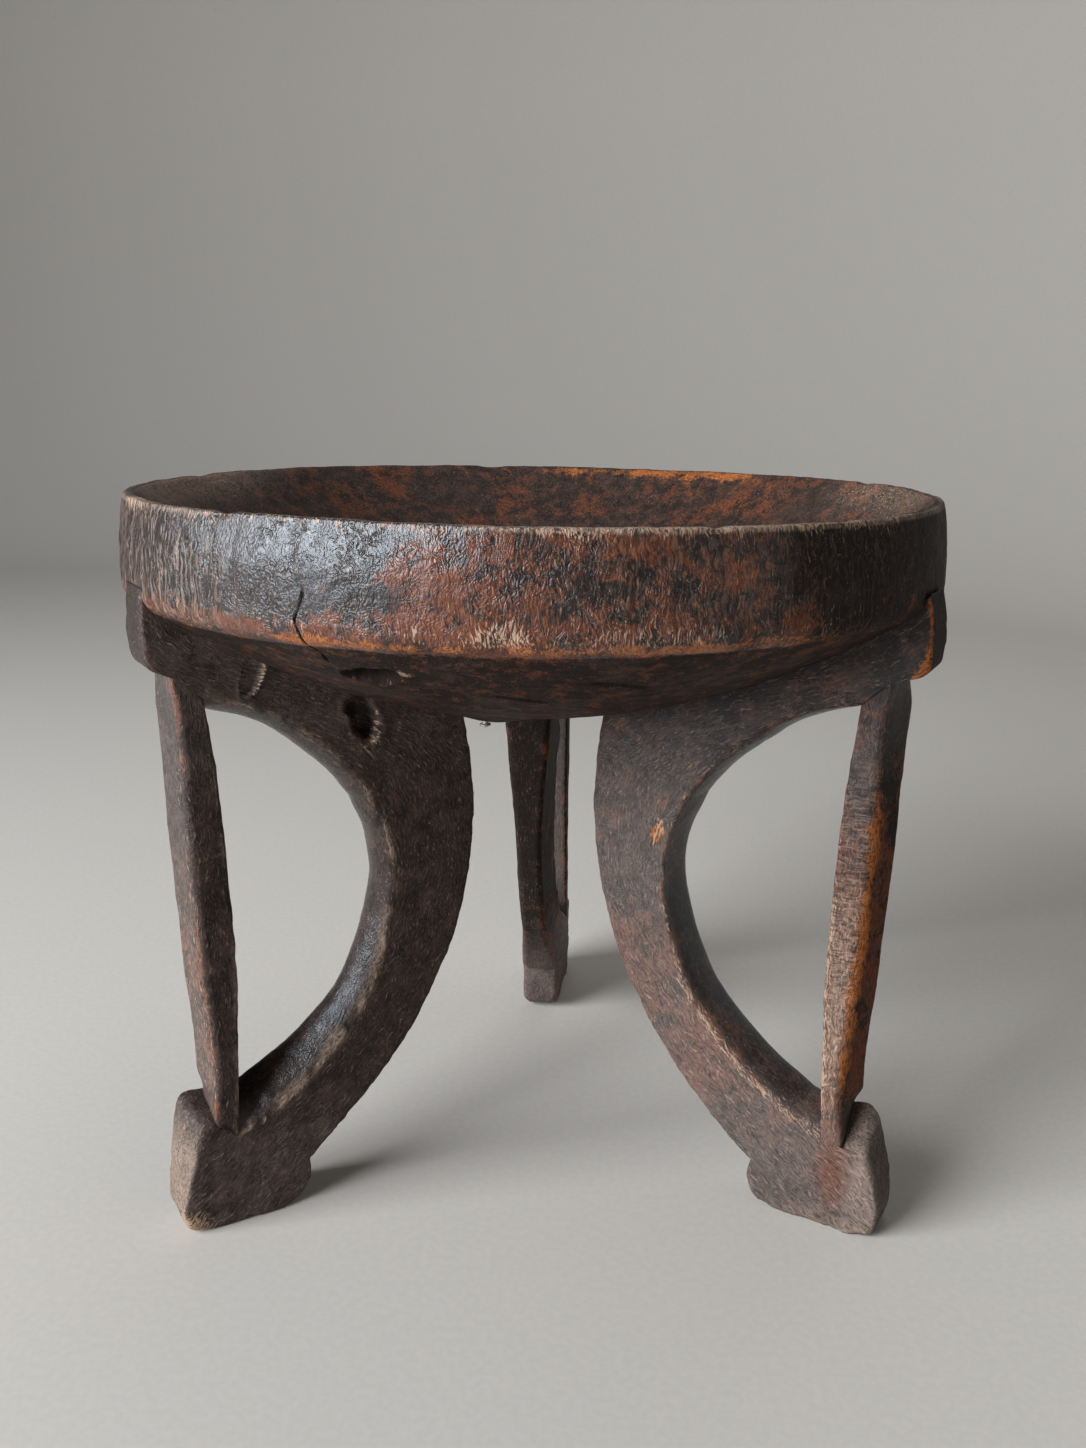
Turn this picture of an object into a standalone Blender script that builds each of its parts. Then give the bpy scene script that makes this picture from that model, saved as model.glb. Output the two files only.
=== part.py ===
"""Carved three-legged wooden stool with a round dished seat.

Sizes are in metres and +Z is up. The origin is on the floor, on the seat's axis.
The back leg points roughly along +Y, and the left and right legs stand towards -Y.
The leg is an openwork plank: a bracket under the rim, an inner bow, an outer strut
and a foot, around a D-shaped opening. It is drawn once in a plane of radius and
height, along +X, and its four members are then turned to each leg's bearing.
"""
import math

import bmesh
import bpy
from mathutils import Matrix

# Seat, whose band flares from the lip to its lower edge
LIP_RADIUS = 0.178
BAND_FLARE = 0.003
SEAT_HEIGHT = 0.321
BAND_HEIGHT = 0.040
LIP_WIDTH = 0.0085
LIP_CROWN = 0.003
DISH_DEPTH = 0.074
DISH_POWER = 2.2
FLOOR_THICKNESS = 0.0265
ARRIS_ROUND = 0.005

# Bearing of each leg in degrees from +X, and how far its plank stands off the axis
LEFT_BEARING = 210.0
RIGHT_BEARING = 330.0
BACK_BEARING = 85.0
BACK_OFFSET = 0.006

# Leg plank
LEG_THICKNESS = 0.025
EDGE_EASE = 0.003
OPENING_EASE = 0.0055

# Bracket and the lug at its outer end, flush with the band
BRACKET_DEPTH = 0.0255
BRACKET_FALL = 0.33
LUG_SETBACK = 0.0006
LUG_DROP = 0.028
LUG_ROUND = 0.010

# Strut, set back from the rim and leaning inwards to the foot
STRUT_SETBACK = 0.0067
STRUT_TOP_WIDTH = 0.016
STRUT_FOOT_WIDTH = 0.013
STRUT_LEAN = 0.007
STRUT_BELLY = 0.0045
STRUT_EASE = 0.004

# Opening and bow
OPENING_WIDTH = 0.0735
OPENING_SHOULDER = 0.0885
BOW_WIDTH = 0.0425
BOW_ROOT_FLARE = 0.005
BOW_SHOULDER = 0.050

# Foot
FOOT_RISE = 0.046
FOOT_FALL = 0.5
STRUT_STEP = 0.004
HEEL_SPREAD = 0.033
HEEL_HEIGHT = 0.022
HEEL_ROUND = 0.0125
TOE_LENGTH = 0.0135
TOE_HEIGHT = 0.014
TOE_ROUND = 0.008
TOE_LIP_HEIGHT = 0.058
TOE_LIP_WIDTH = 0.0055

# Nail under the seat
PIN_PLACE = (-0.020, -0.070)
PIN_SHANK_RADIUS = 0.0011
PIN_HEAD_RADIUS = 0.0024
PIN_HEAD_HEIGHT = 0.0012
PIN_STANDOFF = 0.0022
PIN_DEPTH = 0.012

# Fit and fineness
JOINT_GAP = 0.0003
FULLNESS = 0.52
SEAT_STEPS = 72
DISH_STEPS = 10
LIP_STEPS = 6
BOWL_STEPS = 8
PIN_STEPS = 16
CURVE_STEPS = 9
TOE_STEPS = 6
ROUND_STEPS = 4
EASE_SEGMENTS = 2
SHARP_ANGLE = 40.0
FLAT_COSINE = 0.99
WELD = 0.00001
HOLE_OVERRUN = 0.004

# Levels and radii that the sizes above fix
BAND_BOTTOM = SEAT_HEIGHT - BAND_HEIGHT
DISH_FLOOR = SEAT_HEIGHT - DISH_DEPTH
SEAT_LOW = DISH_FLOOR - FLOOR_THICKNESS
DISH_RADIUS = LIP_RADIUS - LIP_WIDTH
BAND_RADIUS = LIP_RADIUS + BAND_FLARE
LUG_RADIUS = BAND_RADIUS - LUG_SETBACK
LUG_BOTTOM = BAND_BOTTOM - LUG_DROP
STRUT_TOP_OUTER = BAND_RADIUS - STRUT_SETBACK
STRUT_TOP_INNER = STRUT_TOP_OUTER - STRUT_TOP_WIDTH
STRUT_FOOT_OUTER = STRUT_TOP_OUTER - STRUT_LEAN
STRUT_FOOT_INNER = STRUT_FOOT_OUTER - STRUT_FOOT_WIDTH
STRUT_SEAT = FOOT_RISE + STRUT_STEP
OPENING_INNER = STRUT_FOOT_INNER - OPENING_WIDTH
BOW_INNER = OPENING_INNER - BOW_WIDTH
BOW_ROOT = BOW_INNER + BOW_ROOT_FLARE
HEEL_RADIUS = STRUT_FOOT_INNER - HEEL_SPREAD
TOE_RADIUS = STRUT_FOOT_OUTER + TOE_LENGTH

# Finishes
DARK_PATINA = (0.045, 0.026, 0.018)
WORN_BROWN = (0.105, 0.048, 0.024)
FOOT_BROWN = (0.095, 0.062, 0.045)
OLD_IRON = (0.30, 0.28, 0.26)
SATIN = 0.45
DULL = 0.5
DRY = 0.65
IRON_METALLIC = 0.9


def underside(radius):
    """Height of the seat's bowl-shaped underside at a radius."""
    return SEAT_LOW + (BAND_BOTTOM - SEAT_LOW) * (radius / BAND_RADIUS) ** 2


def strut_outer(height):
    """Radius of the strut's straight outer edge at a height."""
    share = (height - STRUT_SEAT) / (LUG_BOTTOM - STRUT_SEAT)
    return STRUT_FOOT_OUTER + STRUT_LEAN * share


def bezier(start, pull_a, pull_b, end, steps=CURVE_STEPS):
    """Points of a cubic curve, without its last one."""
    points = []
    for i in range(steps):
        t = i / steps
        a, b, c, d = (1 - t) ** 3, 3 * t * (1 - t) ** 2, 3 * t * t * (1 - t), t ** 3
        points.append(tuple(a * p + b * q + c * r + d * s
                            for p, q, r, s in zip(start, pull_a, pull_b, end)))
    return points


OPENING_TOP = underside(STRUT_TOP_INNER) - BRACKET_DEPTH
OPENING_MIDDLE = OPENING_TOP - OPENING_SHOULDER
STRUT_HEAD = (OPENING_TOP + LUG_BOTTOM) / 2


def opening_upper():
    """Round side of the opening, from its top corner to its innermost point."""
    run = FULLNESS * (STRUT_TOP_INNER - OPENING_INNER)
    return bezier((STRUT_TOP_INNER, OPENING_TOP),
                  (STRUT_TOP_INNER - run, OPENING_TOP - BRACKET_FALL * run),
                  (OPENING_INNER, OPENING_MIDDLE + FULLNESS * OPENING_SHOULDER),
                  (OPENING_INNER, OPENING_MIDDLE))


def opening_lower():
    """Round side of the opening, from its innermost point to its bottom corner."""
    run = FULLNESS * OPENING_WIDTH
    return bezier((OPENING_INNER, OPENING_MIDDLE),
                  (OPENING_INNER, OPENING_MIDDLE - FULLNESS * (OPENING_MIDDLE - FOOT_RISE)),
                  (STRUT_FOOT_INNER - run, FOOT_RISE + FOOT_FALL * run),
                  (STRUT_FOOT_INNER, FOOT_RISE))


def under_seat(start, end):
    """Line of the leg's top against the seat, from one radius to another."""
    radii = [start + (end - start) * i / CURVE_STEPS for i in range(CURVE_STEPS + 1)]
    return [(radius, underside(radius) - JOINT_GAP) for radius in radii]


def quarter_round(start, corner, end, steps=ROUND_STEPS):
    """Points that round a corner from start to end, both included."""
    points = []
    for i in range(steps + 1):
        t = i / steps
        points.append(tuple((1 - t) ** 2 * p + 2 * t * (1 - t) * q + t * t * r
                            for p, q, r in zip(start, corner, end)))
    return points


# A leg member's outline is a list of runs: the run's points, and how far the edge that
# follows each of them is worn round. Edges against a neighbour stay square.

def bracket_outline():
    """Rail under the rim, from the bow to the lug."""
    border = CURVE_STEPS // 2
    inner_edge = opening_upper()[:border + 1]
    lug = quarter_round((LUG_RADIUS, LUG_BOTTOM + LUG_ROUND),
                        (LUG_RADIUS, LUG_BOTTOM),
                        (LUG_RADIUS - min(LUG_ROUND, STRUT_SETBACK - LUG_SETBACK), LUG_BOTTOM))
    seat_line = under_seat(inner_edge[-1][0], LUG_RADIUS)
    neck = [(STRUT_TOP_OUTER, LUG_BOTTOM)] if lug[-1][0] > STRUT_TOP_OUTER + WELD else []
    head = [(strut_outer(STRUT_HEAD), STRUT_HEAD)]
    return [(seat_line[:-1], 0.0), (seat_line[-1:] + lug + neck, EDGE_EASE),
            (head, 0.0), (inner_edge[:-1], OPENING_EASE), (inner_edge[-1:], 0.0)]


def bow_outline():
    """Curved inner limb, from the seat to the foot."""
    border = CURVE_STEPS // 2
    upper = opening_upper()[border:]
    upper[0] = (upper[0][0] - JOINT_GAP, upper[0][1])
    seat_line = under_seat(BOW_ROOT, upper[0][0])
    lower = opening_lower()
    end = (STRUT_FOOT_INNER - JOINT_GAP, FOOT_RISE + 2 * JOINT_GAP)
    heel = (HEEL_RADIUS, HEEL_HEIGHT + 2 * JOINT_GAP)
    middle = (BOW_INNER, seat_line[0][1] - BOW_SHOULDER)
    run = FULLNESS * (HEEL_RADIUS - BOW_INNER)
    back = bezier(heel, (heel[0] - run, heel[1] + run),
                  (BOW_INNER, middle[1] - FULLNESS * (middle[1] - heel[1])), middle)
    root = bezier(middle, (BOW_INNER, middle[1] + FULLNESS * BOW_SHOULDER),
                  (BOW_ROOT, seat_line[0][1] - FULLNESS * BOW_SHOULDER), seat_line[0])
    return [(seat_line, 0.0), (upper + lower, OPENING_EASE), ([end], 0.0),
            (back + root, EDGE_EASE)]


def strut_outline():
    """Slim outer post, swelling inwards, from the bracket to the foot."""
    top = (STRUT_TOP_INNER, OPENING_TOP - 2 * JOINT_GAP)
    foot = (STRUT_FOOT_INNER, FOOT_RISE + 2 * JOINT_GAP)
    reach = top[1] - foot[1]
    belly = min(top[0], foot[0]) - STRUT_BELLY
    inner = bezier(top, (belly, top[1] - reach / 3), (belly, foot[1] + reach / 3), foot)
    outer = (STRUT_FOOT_OUTER, STRUT_SEAT + 2 * JOINT_GAP)
    head = STRUT_HEAD - 2 * JOINT_GAP
    return [(inner, STRUT_EASE), ([foot], 0.0), ([outer], STRUT_EASE),
            ([(strut_outer(head), head)], 0.0)]


def foot_outline():
    """Block with a flat sole, a heel inside and a raised toe lip behind the strut."""
    lip = strut_outer(TOE_LIP_HEIGHT) + JOINT_GAP
    crest = (lip + TOE_LIP_WIDTH, TOE_LIP_HEIGHT)
    toe = (TOE_RADIUS, TOE_HEIGHT)
    sole = (TOE_RADIUS - TOE_ROUND, 0.0)
    front = bezier(crest, (crest[0] + TOE_LIP_WIDTH, crest[1] - TOE_LIP_WIDTH),
                   (toe[0], toe[1] + FULLNESS * TOE_HEIGHT), toe, steps=TOE_STEPS)
    under = bezier(toe, (toe[0], toe[1] - FULLNESS * TOE_HEIGHT),
                   (sole[0] + FULLNESS * TOE_ROUND, 0.0), sole, steps=ROUND_STEPS)
    heel = quarter_round((HEEL_RADIUS + HEEL_ROUND, 0.0), (HEEL_RADIUS, 0.0),
                         (HEEL_RADIUS, HEEL_HEIGHT))
    seat = [(STRUT_FOOT_INNER, FOOT_RISE), (STRUT_FOOT_OUTER + JOINT_GAP, STRUT_SEAT)]
    rounded = [(lip, TOE_LIP_HEIGHT)] + front + under + [sole] + heel[:-1]
    return [(seat, 0.0), (rounded, EDGE_EASE), (heel[-1:], 0.0)]


def seat_profile():
    """Half section of the seat: dish, crowned lip, band, worn arris and underside."""
    rim_level = SEAT_HEIGHT - LIP_CROWN
    dish = []
    for i in range(DISH_STEPS):
        share = i / DISH_STEPS
        rise = (rim_level - DISH_FLOOR) * share ** DISH_POWER
        dish.append((DISH_RADIUS * share, DISH_FLOOR + rise))
    lip = []
    for i in range(LIP_STEPS + 1):
        turn = math.pi * (1 - i / LIP_STEPS)
        lip.append((LIP_RADIUS - LIP_WIDTH / 2 + LIP_WIDTH / 2 * math.cos(turn),
                    rim_level + LIP_CROWN * math.sin(turn)))
    inside = BAND_RADIUS - ARRIS_ROUND
    arris = quarter_round((BAND_RADIUS, BAND_BOTTOM + ARRIS_ROUND), (BAND_RADIUS, BAND_BOTTOM),
                          (inside, underside(inside)))
    radii = [inside * (1 - i / BOWL_STEPS) for i in range(1, BOWL_STEPS + 1)]
    bowl = [(radius, underside(radius)) for radius in radii]
    return dish + lip + arris + bowl


def pin_profile():
    """Half section of the nail, from the shank's top down to the head."""
    return [(0.0, PIN_DEPTH), (PIN_SHANK_RADIUS, PIN_DEPTH),
            (PIN_SHANK_RADIUS, -PIN_STANDOFF),
            (PIN_HEAD_RADIUS, -PIN_STANDOFF),
            (PIN_HEAD_RADIUS, -PIN_STANDOFF - PIN_HEAD_HEIGHT / 2),
            (PIN_HEAD_RADIUS / 2, -PIN_STANDOFF - PIN_HEAD_HEIGHT),
            (0.0, -PIN_STANDOFF - PIN_HEAD_HEIGHT)]


def clear_scene():
    """Remove every object that the scene holds."""
    for obj in list(bpy.data.objects):
        bpy.data.objects.remove(obj, do_unlink=True)


def new_collection(name):
    """Add a collection to the scene."""
    group = bpy.data.collections.new(name)
    bpy.context.scene.collection.children.link(group)
    return group


def give_finish(obj, colour, roughness, metallic=0.0):
    """Give an object its own material."""
    material = bpy.data.materials.new(obj.name + "_finish")
    material.use_nodes = True
    shader = material.node_tree.nodes["Principled BSDF"]
    shader.inputs["Base Color"].default_value = (*colour, 1.0)
    shader.inputs["Roughness"].default_value = roughness
    shader.inputs["Metallic"].default_value = metallic
    obj.data.materials.append(material)


def turned(name, profile, steps, group):
    """Turn a half section about the Z axis."""
    mesh = bpy.data.meshes.new(name)
    edges = [(i, i + 1) for i in range(len(profile) - 1)]
    mesh.from_pydata([(radius, 0.0, height) for radius, height in profile], edges, [])
    obj = bpy.data.objects.new(name, mesh)
    group.objects.link(obj)
    turn = obj.modifiers.new("Turn", "SCREW")
    turn.axis = "Z"
    turn.steps = steps
    turn.render_steps = steps
    turn.use_merge_vertices = True
    turn.merge_threshold = WELD
    turn.use_smooth_shade = True
    return obj


def worn_edges(outline):
    """Middle of each worn edge of an outline, with the width of its wear."""
    points = [point for run, _ in outline for point in run]
    eases = [ease for run, ease in outline for _ in run]
    following = points[1:] + points[:1]
    return [((a[0] + b[0]) / 2, (a[1] + b[1]) / 2, ease)
            for a, b, ease in zip(points, following, eases) if ease]


def member_mesh(name, outline, group):
    """Extrude an outline to the plank's thickness, standing in the XZ plane."""
    points = [point for run, _ in outline for point in run]
    curve = bpy.data.curves.new(name, "CURVE")
    curve.dimensions = "2D"
    curve.fill_mode = "BOTH"
    curve.extrude = LEG_THICKNESS / 2
    spline = curve.splines.new("POLY")
    spline.points.add(len(points) - 1)
    for slot, (radius, height) in zip(spline.points, points):
        slot.co = (radius, height, 0.0, 1.0)
    spline.use_cyclic_u = True
    drawing = bpy.data.objects.new(name, curve)
    group.objects.link(drawing)
    evaluated = drawing.evaluated_get(bpy.context.evaluated_depsgraph_get())
    mesh = bpy.data.meshes.new_from_object(evaluated)
    bpy.data.objects.remove(drawing, do_unlink=True)
    bm = bmesh.new()
    bm.from_mesh(mesh)
    bmesh.ops.remove_doubles(bm, verts=bm.verts, dist=WELD)
    bmesh.ops.rotate(bm, verts=bm.verts, matrix=Matrix.Rotation(math.pi / 2, 3, "X"))
    bm.normal_update()
    flat = [edge for edge in bm.edges
            if all(abs(face.normal.y) > FLAT_COSINE for face in edge.link_faces)]
    bmesh.ops.dissolve_edges(bm, edges=flat)
    bmesh.ops.recalc_face_normals(bm, faces=bm.faces)
    mark_worn_edges(bm, worn_edges(outline), widest_ease(outline))
    bm.to_mesh(mesh)
    bm.free()
    mesh.name = name
    mesh.shade_smooth()
    mesh.set_sharp_from_angle(angle=math.radians(SHARP_ANGLE))
    return mesh


def widest_ease(outline):
    """Largest wear on an outline's edges."""
    return max(ease for _, ease in outline)


def mark_worn_edges(bm, worn, widest):
    """Give the worn edges of both flat sides a bevel weight, as a share of the widest."""
    weight = bm.edges.layers.float.new("bevel_weight_edge")
    for edge in bm.edges:
        a, b = (vert.co for vert in edge.verts)
        if a.y * b.y <= 0.0:
            continue
        middle = (a + b) / 2
        away, ease = min((math.hypot(middle.x - x, middle.z - z), ease) for x, z, ease in worn)
        edge[weight] = ease / widest if away < 2 * WELD else 0.0


def ease_edges(obj, width):
    """Round the worn edges of a leg member."""
    ease = obj.modifiers.new("Ease", "BEVEL")
    ease.limit_method = "WEIGHT"
    ease.width = width
    ease.segments = EASE_SEGMENTS


def build_seat(group, cutters):
    """Seat and the nail in its underside."""
    seat = turned("seat_dish", seat_profile(), SEAT_STEPS, group)
    give_finish(seat, WORN_BROWN, SATIN)
    pin = turned("seat_pin", pin_profile(), PIN_STEPS, group)
    pin.location = (*PIN_PLACE, underside(math.hypot(*PIN_PLACE)))
    give_finish(pin, OLD_IRON, DULL, IRON_METALLIC)
    depth = PIN_DEPTH + JOINT_GAP + HOLE_OVERRUN
    bpy.ops.mesh.primitive_cylinder_add(vertices=PIN_STEPS, depth=depth,
                                        radius=PIN_SHANK_RADIUS + JOINT_GAP)
    hole = bpy.context.object
    hole.name = "pin_hole"
    hole.location = pin.location
    hole.location.z += depth / 2 - HOLE_OVERRUN
    hole.hide_render = True
    hole.display_type = "WIRE"
    for owner in list(hole.users_collection):
        owner.objects.unlink(hole)
    cutters.objects.link(hole)
    cut = seat.modifiers.new("Pin hole", "BOOLEAN")
    cut.operation = "DIFFERENCE"
    cut.object = hole


def build_legs(group):
    """Four members for each leg, sharing the meshes of the one drawn leg."""
    members = [("bracket", bracket_outline(), DARK_PATINA, DULL),
               ("bow", bow_outline(), DARK_PATINA, SATIN),
               ("strut", strut_outline(), WORN_BROWN, SATIN),
               ("foot", foot_outline(), FOOT_BROWN, DRY)]
    legs = [("left", LEFT_BEARING, 0.0), ("right", RIGHT_BEARING, 0.0),
            ("back", BACK_BEARING, BACK_OFFSET)]
    for part, outline, colour, roughness in members:
        mesh = member_mesh("leg_" + part, outline, group)
        for leg, bearing, offset in legs:
            obj = bpy.data.objects.new(leg + "_" + part, mesh.copy())
            turn = Matrix.Rotation(math.radians(bearing), 4, "Z")
            obj.matrix_world = turn @ Matrix.Translation((0.0, offset, 0.0))
            group.objects.link(obj)
            ease_edges(obj, widest_ease(outline))
            give_finish(obj, colour, roughness)


def main():
    clear_scene()
    stool = new_collection("carved_stool")
    cutters = new_collection("cutters")
    build_seat(stool, cutters)
    build_legs(stool)


main()
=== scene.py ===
"""Looks of the carved three-legged stool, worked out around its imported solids.

Lengths are in metres. The legs' outlines are written in millimetres, as radius from the
seat's axis and height above the floor. Bearings are degrees from +X, seen from above.
"""
import math
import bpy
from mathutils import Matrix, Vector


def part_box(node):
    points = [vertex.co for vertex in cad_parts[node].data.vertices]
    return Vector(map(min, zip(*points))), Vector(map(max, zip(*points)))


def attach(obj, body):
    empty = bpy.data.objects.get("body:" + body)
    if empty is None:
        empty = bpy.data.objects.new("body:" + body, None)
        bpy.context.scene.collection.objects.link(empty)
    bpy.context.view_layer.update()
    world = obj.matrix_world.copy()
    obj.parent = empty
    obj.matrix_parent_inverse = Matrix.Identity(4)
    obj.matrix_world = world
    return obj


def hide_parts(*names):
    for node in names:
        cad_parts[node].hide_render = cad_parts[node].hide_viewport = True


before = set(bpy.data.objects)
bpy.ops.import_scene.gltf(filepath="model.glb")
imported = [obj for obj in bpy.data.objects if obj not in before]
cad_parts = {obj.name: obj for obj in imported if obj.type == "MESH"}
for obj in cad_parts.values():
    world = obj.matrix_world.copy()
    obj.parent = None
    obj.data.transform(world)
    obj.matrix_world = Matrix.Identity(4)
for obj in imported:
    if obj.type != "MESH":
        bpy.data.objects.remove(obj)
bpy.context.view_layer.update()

from types import SimpleNamespace

import bpy
import numpy as np
from mathutils import Matrix, Vector

MM = 0.001

# Camera of the photograph
CAMERA_PLACE = (0.0, -0.5886, 0.3637)
CAMERA_RIGHT = (0.9999, -0.0056, 0.0091)
CAMERA_UP = (-0.0074, 0.2544, 0.9671)
CAMERA_BACK = (-0.0077, -0.9671, 0.2544)
CAMERA_LENS = 31.9025
CAMERA_FILM = 36.0

# Studio, with each lamp's place, target, size, spread, power and colour
KEY_LAMP = ((-1.80, -1.15, 1.13), (0, 0, 0.85), 1.6, 140.0, 71.0, (0.96, 0.98, 1.0))
TOP_LAMP = ((0.2, 0.5, 1.7), (0, 0, 0.2), 0.9, 180.0, 4.0, (1, 1, 1))
SKY_COLOUR = (0.95, 0.97, 1.0, 1.0)
SKY_STRENGTH = 0.06
FLOOR_MIDDLE = (-0.9, -0.6)
FLOOR_FLAT = 2.58
FLOOR_BEND = 1.1
FLOOR_WALL = 1.4
FLOOR_ROWS = (11, 24, 6)
FLOOR_COLUMNS = 96
PAPER_TONES = ((0.60, 0.575, 0.54), (0.63, 0.605, 0.57))
PAPER_ROUGHNESS = 0.9

# Colours of the wood and the nail
CRUST = (0.0185, 0.0122, 0.0100)
BROWN = (0.060, 0.036, 0.028)
DEEP_RED = (0.075, 0.025, 0.014)
RED = (0.165, 0.049, 0.019)
ORANGE = (0.42, 0.135, 0.030)
TAN = (0.42, 0.285, 0.200)
# Grey of dust, also laid in places as a painted sheen
DUST_AND_SHEEN = (0.185, 0.152, 0.138)
PALE = (0.325, 0.240, 0.182)
SCRATCH = (0.31, 0.225, 0.185)
GLOSS_TINT = (0.80, 0.90, 1.0, 1.0)
BARE_IRON = (0.46, 0.42, 0.39)
RUST = (0.20, 0.12, 0.08)

# Seat
SEAT_LOW_CORNER, SEAT_HIGH_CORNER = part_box("seat_dish")
RELIEF_ROOM_UP = 0.0004
RELIEF_ROOM_OUT = 0.0003
RIM_LEVEL = SEAT_HIGH_CORNER.z - RELIEF_ROOM_UP
BAND_RADIUS = SEAT_HIGH_CORNER.x - RELIEF_ROOM_OUT
BOWL_LOW = SEAT_LOW_CORNER.z
BAND_HEIGHT = 0.040
BAND_FLARE = 0.003
BAND_CURVE = 2.4
LIP_WIDTH = 0.0085
LIP_CROWN = 0.003
LIP_EDGE = 0.0013
INNER_LIP = 0.0038
DISH_DEPTH = 0.074
DISH_POWER = 2.2
ARRIS_ROUND = 0.0045
LIP_RADIUS = BAND_RADIUS - BAND_FLARE
DISH_RADIUS = LIP_RADIUS - LIP_WIDTH
BAND_BOTTOM = RIM_LEVEL - BAND_HEIGHT
LIP_BASE = RIM_LEVEL - LIP_CROWN
DISH_FLOOR = RIM_LEVEL - DISH_DEPTH

# Grid of the seat
DISH, LIP, BAND, ARRIS, BOWL = range(5)
DISH_ROWS = 44
DISH_CROWDING = 1.5
LIP_ROWS = (8, 6)
BAND_ROWS = 32
ARRIS_ROWS = 9
BOWL_ROWS = (48, 22)
BOWL_MIDDLE = 0.100
SEAT_COLUMNS = 596
BEARING_SAMPLES = 7201
FRONT_BEARING = -90.0

# Seat out of round and level, and rubbed by hands from one bearing to another
RIM_WAVE = 0.0004
RIM_TILT = 0.0011
OVAL = 0.0010
FIVE_SIDES = 0.0006
HAND_WEAR = 0.0020
HAND_REACH = 0.018
HAND_PLACE = (-133, -99, 9)

# Relief of the seat's skin
SKIN_RISE = 0.00020
GRIT_RISE = 0.00012
RIPPLE_RISE = 0.00024
RIPPLE_STEP = 0.00085
CHISEL_RISE = 0.00020
BAND_RISE = 0.00016
RING_RISE = 0.00008
ARRIS_WEAR = 0.00045
ARRIS_GRIT = 0.00022

# Crack by bearing and place down the band and below it, slits by bearing, radius and height
BAND_CRACK = [(-115.4, 0.2968), (-115.9, 0.2915), (-116.6, 0.2872), (-116.2, 0.2815),
              (-115.9, 0.2760), (-115.3, 0.2712), (-116.2, 0.2640)]
CRACK_DEPTH = 0.0015
CRACK_WIDTH = 0.00028
UNDER_CRACKS = [[(-81.8, 0.1517, 0.263), (-78.0, 0.1495, 0.2615), (-74.1, 0.1458, 0.2597)],
                [(-95.1, 0.1355, 0.2544), (-91.0, 0.1315, 0.2525), (-88.1, 0.1288, 0.2511)],
                [(22.0, 0.120, 0.247), (38.0, 0.118, 0.2462)],
                [(128.0, 0.150, 0.262), (139.0, 0.152, 0.2631)]]
SLIT_DEPTH = 0.0016
SLIT_WIDTH = 0.0011

# Knot hole, and chips of the rim by bearing, width and depth
KNOT_BEARING = -112.3
KNOT_RADIUS = 0.1525
KNOT_ALONG = 0.0140
KNOT_ACROSS = 0.0074
KNOT_TURN = -24.0
KNOT_DEPTH = 0.0105
KNOT_LIP = 0.0005
RIM_CHIPS = [(98.5, 0.011, 0.0016), (-44.0, 0.010, 0.0012), (-128.0, 0.008, 0.0009),
             (160.0, 0.013, 0.0011), (20.0, 0.009, 0.0010), (-70.0, 0.006, 0.0008)]

# Paints round the band, mostly wear, with painted shade in the right-hand dark and painted sheen in
# the grey, as weight, first and last bearing and softness of its ends
BAND_PAINTS = {
    "red": [(0.50, -106, -62, 7), (0.26, -118, -104, 6), (0.14, -60, -34, 8)],
    "rim red": [(0.50, -158, -122, 6)],
    "orange": [(0.30, -100, -58, 6)],
    "low orange": [(0.78, -123, -101, 3), (0.72, -92, -64, 4), (0.42, -64, -46, 5),
                   (0.30, -150, -123, 4)],
    "low tan": [(0.58, -102, -89, 3), (0.34, -89, -81, 3), (0.44, -81, -68, 3),
                (0.22, -68, -50, 4), (0.15, -125, -102, 3)],
    "rim tan": [(0.56, -90, -36, 4), (0.34, -155, -118, 5), (0.34, -118, -90, 3)],
    # Dark crust towards both ends; on the right, turned from the key lamp, it is also painted shade
    "dark": [(0.40, -62, -15, 14), (0.40, -178, -106, 8)],
    "foxed": [(1.0, -162, -106, 6)],
    # Grey on the left: dust, and painted sheen where the key lamp's highlight falls
    "grey": [(0.10, -150, -104, 8)],
    "polish": [(-0.42, -60, -15, 8), (0.32, -140, -104, 8), (0.14, -104, -60, 8)],
    "glaze": [(1.0, -130, -98, 7)],
    "curly": [(0.25, -125, -62, 6)],
    "hairs": [(0.30, -88, -40, 5), (0.25, -150, -128, 5)],
    "streaks": [(0.30, -86, -62, 6), (0.14, -62, -30, 8)],
    "warm rim": [(1.0, 44, 91, 5), (1.0, -271, -262, 5)]}
FRONT_SIDE = (-165, -15, 10)
STREAKED_END = (-176, -128, 9)
# Dusty ends of the dish near the rim; the left end gets more grey as painted light on its inner
# wall, which faces away from the key lamp
DUST_AND_PAINTED_LIGHT_LEFT = (-208, -172, 8)
DUSTY_RIGHT = (-12, 24, 8)
# Painted light: bearings where the dish's left inner wall, turned away from the key lamp, is
# painted pale
PAINTED_LIGHT_LEFT = (-214, -164, 10)
TAN_CORNER = -152

# Leg outlines, in millimetres
HALF_THICKNESS = 12.4
OPENING = [(159, 242), (143, 237.5), (127, 230), (113, 219), (99, 206), (87, 190), (79, 169),
           (77, 150), (79, 133), (85, 112), (94, 93), (107, 77), (123, 62), (141, 50), (155, 43.5)]
RAIL_END = 3
ROOT_END = 5
BOW_END = 13
RAIL_TURN = 0.4
BOW_BACK = [(43, 226), (39, 198), (38.5, 168), (42.5, 142), (50, 115), (60, 94), (72, 74),
            (86, 56), (103, 39), (122.5, 21.5)]
STRUT_INNER = [(155, 43.5), (153, 76), (151.5, 127), (152.5, 160), (155, 207), (157, 226),
               (159, 242)]
STRUT_OUTER = [(165, 75), (168, 120), (169.5, 157), (171, 202), (171.5, 238), (172, 254)]
STRUT_CROWN = 1.5
STRUT_CORNER = 8
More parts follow.
